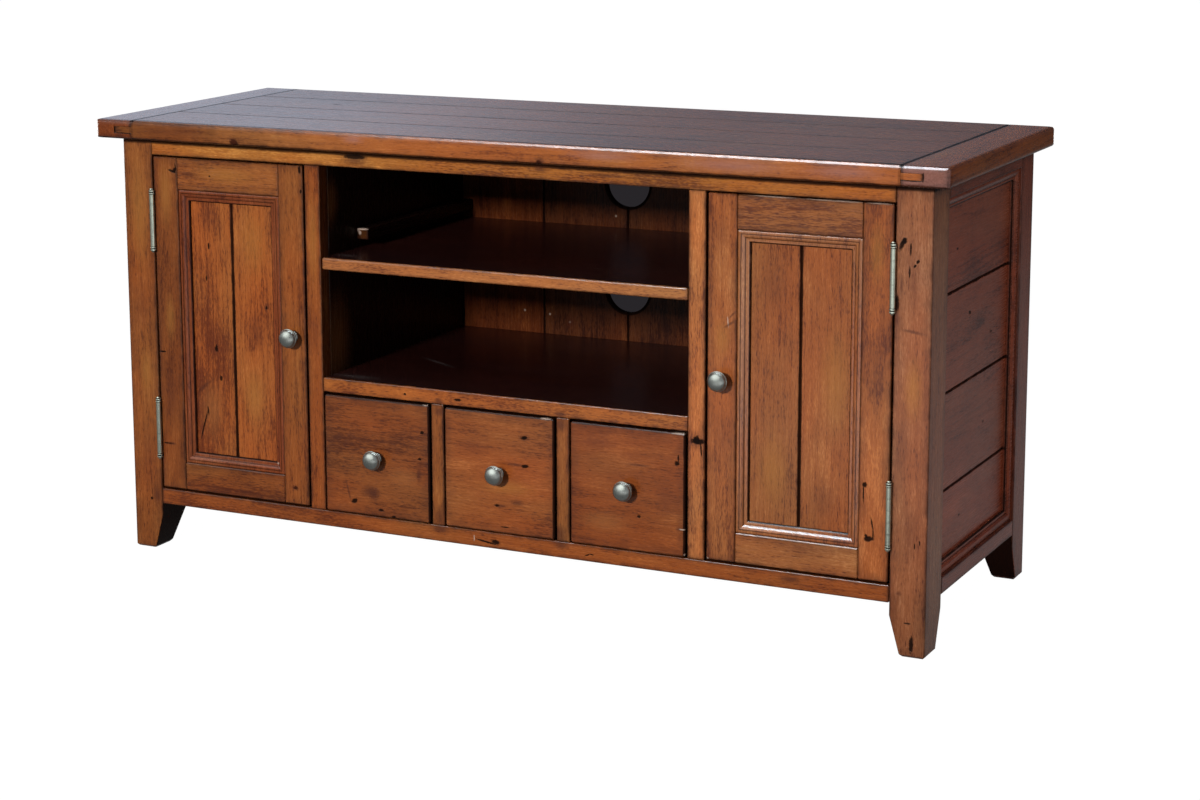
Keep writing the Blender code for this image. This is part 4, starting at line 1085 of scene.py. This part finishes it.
def mesh_object(name, shape, material):
    mesh = bpy.data.meshes.new(name)
    shape.to_mesh(mesh)
    shape.free()
    mesh.materials.append(material)
    return add_object(name, mesh)


def make_floor():
    material = new_material("studio_paper")
    net = Net(material.node_tree)
    seen, mirrored = ray_kinds(net)
    paper = net.add("BsdfDiffuse", {"Color": FLOOR_PAPER})
    white = net.add("Emission", {"Color": WHITE, "Strength": FLOOR_STRENGTH})
    plain = net.mix(net.times(seen, FLOOR_SEEN), paper, white)
    x, y = net.parts(net.place())[:2]
    lit = net.times(net.fade(x, *FLOOR_SHEEN_X), net.fade(y, *FLOOR_SHEEN_Y))
    far = net.fade(y, *FLOOR_FADE_Y, FLOOR_MIRRORED, FLOOR_FAR)
    strength = net.plus(far, lit, FLOOR_SHEEN)
    image = net.add("Emission", {"Color": FLOOR_IMAGE, "Strength": strength})
    net.surface(net.mix(mirrored, plain, image))
    shape = bmesh.new()
    bmesh.ops.create_grid(shape, x_segments=FLOOR_SQUARES, y_segments=FLOOR_SQUARES, size=FLOOR_REACH)
    floor = mesh_object("studio_floor", shape, material)


CARD_PLACE_MM = 214.0
CARD_RADIUS_MM = 44.0
CARD_CORNERS = 32
# The cards' colour is painted shade, as a shaded wall behind would show
CARD_SHADE = colour(0.021, 0.0188, 0.0215)


def make_hole_cards():
    """Dark cards behind the cable holes, seen from the front only: painted shade, standing in for a shaded
    wall.
    """
    material = new_material("shaded_card")
    net = Net(material.node_tree)
    painted_shade = net.add("Emission", {"Color": CARD_SHADE})
    clear = net.add("BsdfTransparent")
    behind = net.add("NewGeometry").outputs["Backfacing"]
    net.surface(net.mix(behind, painted_shade, clear))
    shape = bmesh.new()
    upright = Matrix.Rotation(math.pi / 2, 4, "X")
    for height in HOLE_HEIGHTS_MM:
        pose = Matrix.Translation((0.0, CARD_PLACE_MM * MM, height * MM)) @ upright
        bmesh.ops.create_circle(shape, cap_ends=True, radius=CARD_RADIUS_MM * MM, segments=CARD_CORNERS,
                                matrix=pose)
    cards = mesh_object("hole_cards", shape, material)


WORLD_FILL = 0.11
WORLD_TINT = colour(0.93, 0.96, 1.0)
# What mirror images show: the front wall, the lit and unlit rear wall, and the key's face
FRONT_WALL = colour(0.55, 0.57, 0.60)
LIT_WALL = colour(0.96, 1.06, 1.30)
UNLIT_WALL = colour(0.0, 0.0, 0.0)
KEY_FACE = colour(3.4, 3.6, 3.6)
BEHIND_LIMITS = (-0.1, 0.35)
# The lit part begins at the left, in two steps: limits and strengths
LIT_STEPS = ((-0.38, -0.60, 0.0, 0.85), (-0.20, -0.36, 0.06, 0.27))
# Where the broad face of the key light shows, and its soft rim
KEY_DIRECTION = (-0.29, -0.72, 0.63)
KEY_LIMITS = (0.76, 0.92)


def make_world():
    world = bpy.data.worlds.new("studio")
    bpy.context.scene.world = world
    world.use_nodes = True
    world.node_tree.nodes.clear()
    net = Net(world.node_tree)
    seen, mirrored = ray_kinds(net)
    direction = net.add("TexCoord").outputs["Generated"]
    x, y = net.parts(direction)[:2]
    lit = net.math("ADD", *(net.fade(x, *step) for step in LIT_STEPS))
    rear_wall = net.blend(lit, UNLIT_WALL, LIT_WALL)
    card = net.blend(net.fade(y, *BEHIND_LIMITS), FRONT_WALL, rear_wall)
    toward = net.vector("DOT_PRODUCT", direction, KEY_DIRECTION)
    card = net.blend(net.fade(toward, *KEY_LIMITS), card, KEY_FACE)
    shown = net.blend(seen, card, WHITE)
    fill = net.add("Background", {"Color": WORLD_TINT, "Strength": WORLD_FILL})
    view = net.add("Background", {"Color": shown, "Strength": 1.0})
    mixed = net.mix(net.math("MAXIMUM", seen, mirrored), fill, view)
    net.add("OutputWorld", {"Surface": mixed.outputs[0]})


make_camera()
dress_top()
dress_case()
dress_drawers()
dress_doors()
dress_metal()
make_lights()
make_floor()
make_hole_cards()
make_world()
bpy.context.scene.view_settings.view_transform = "Standard"
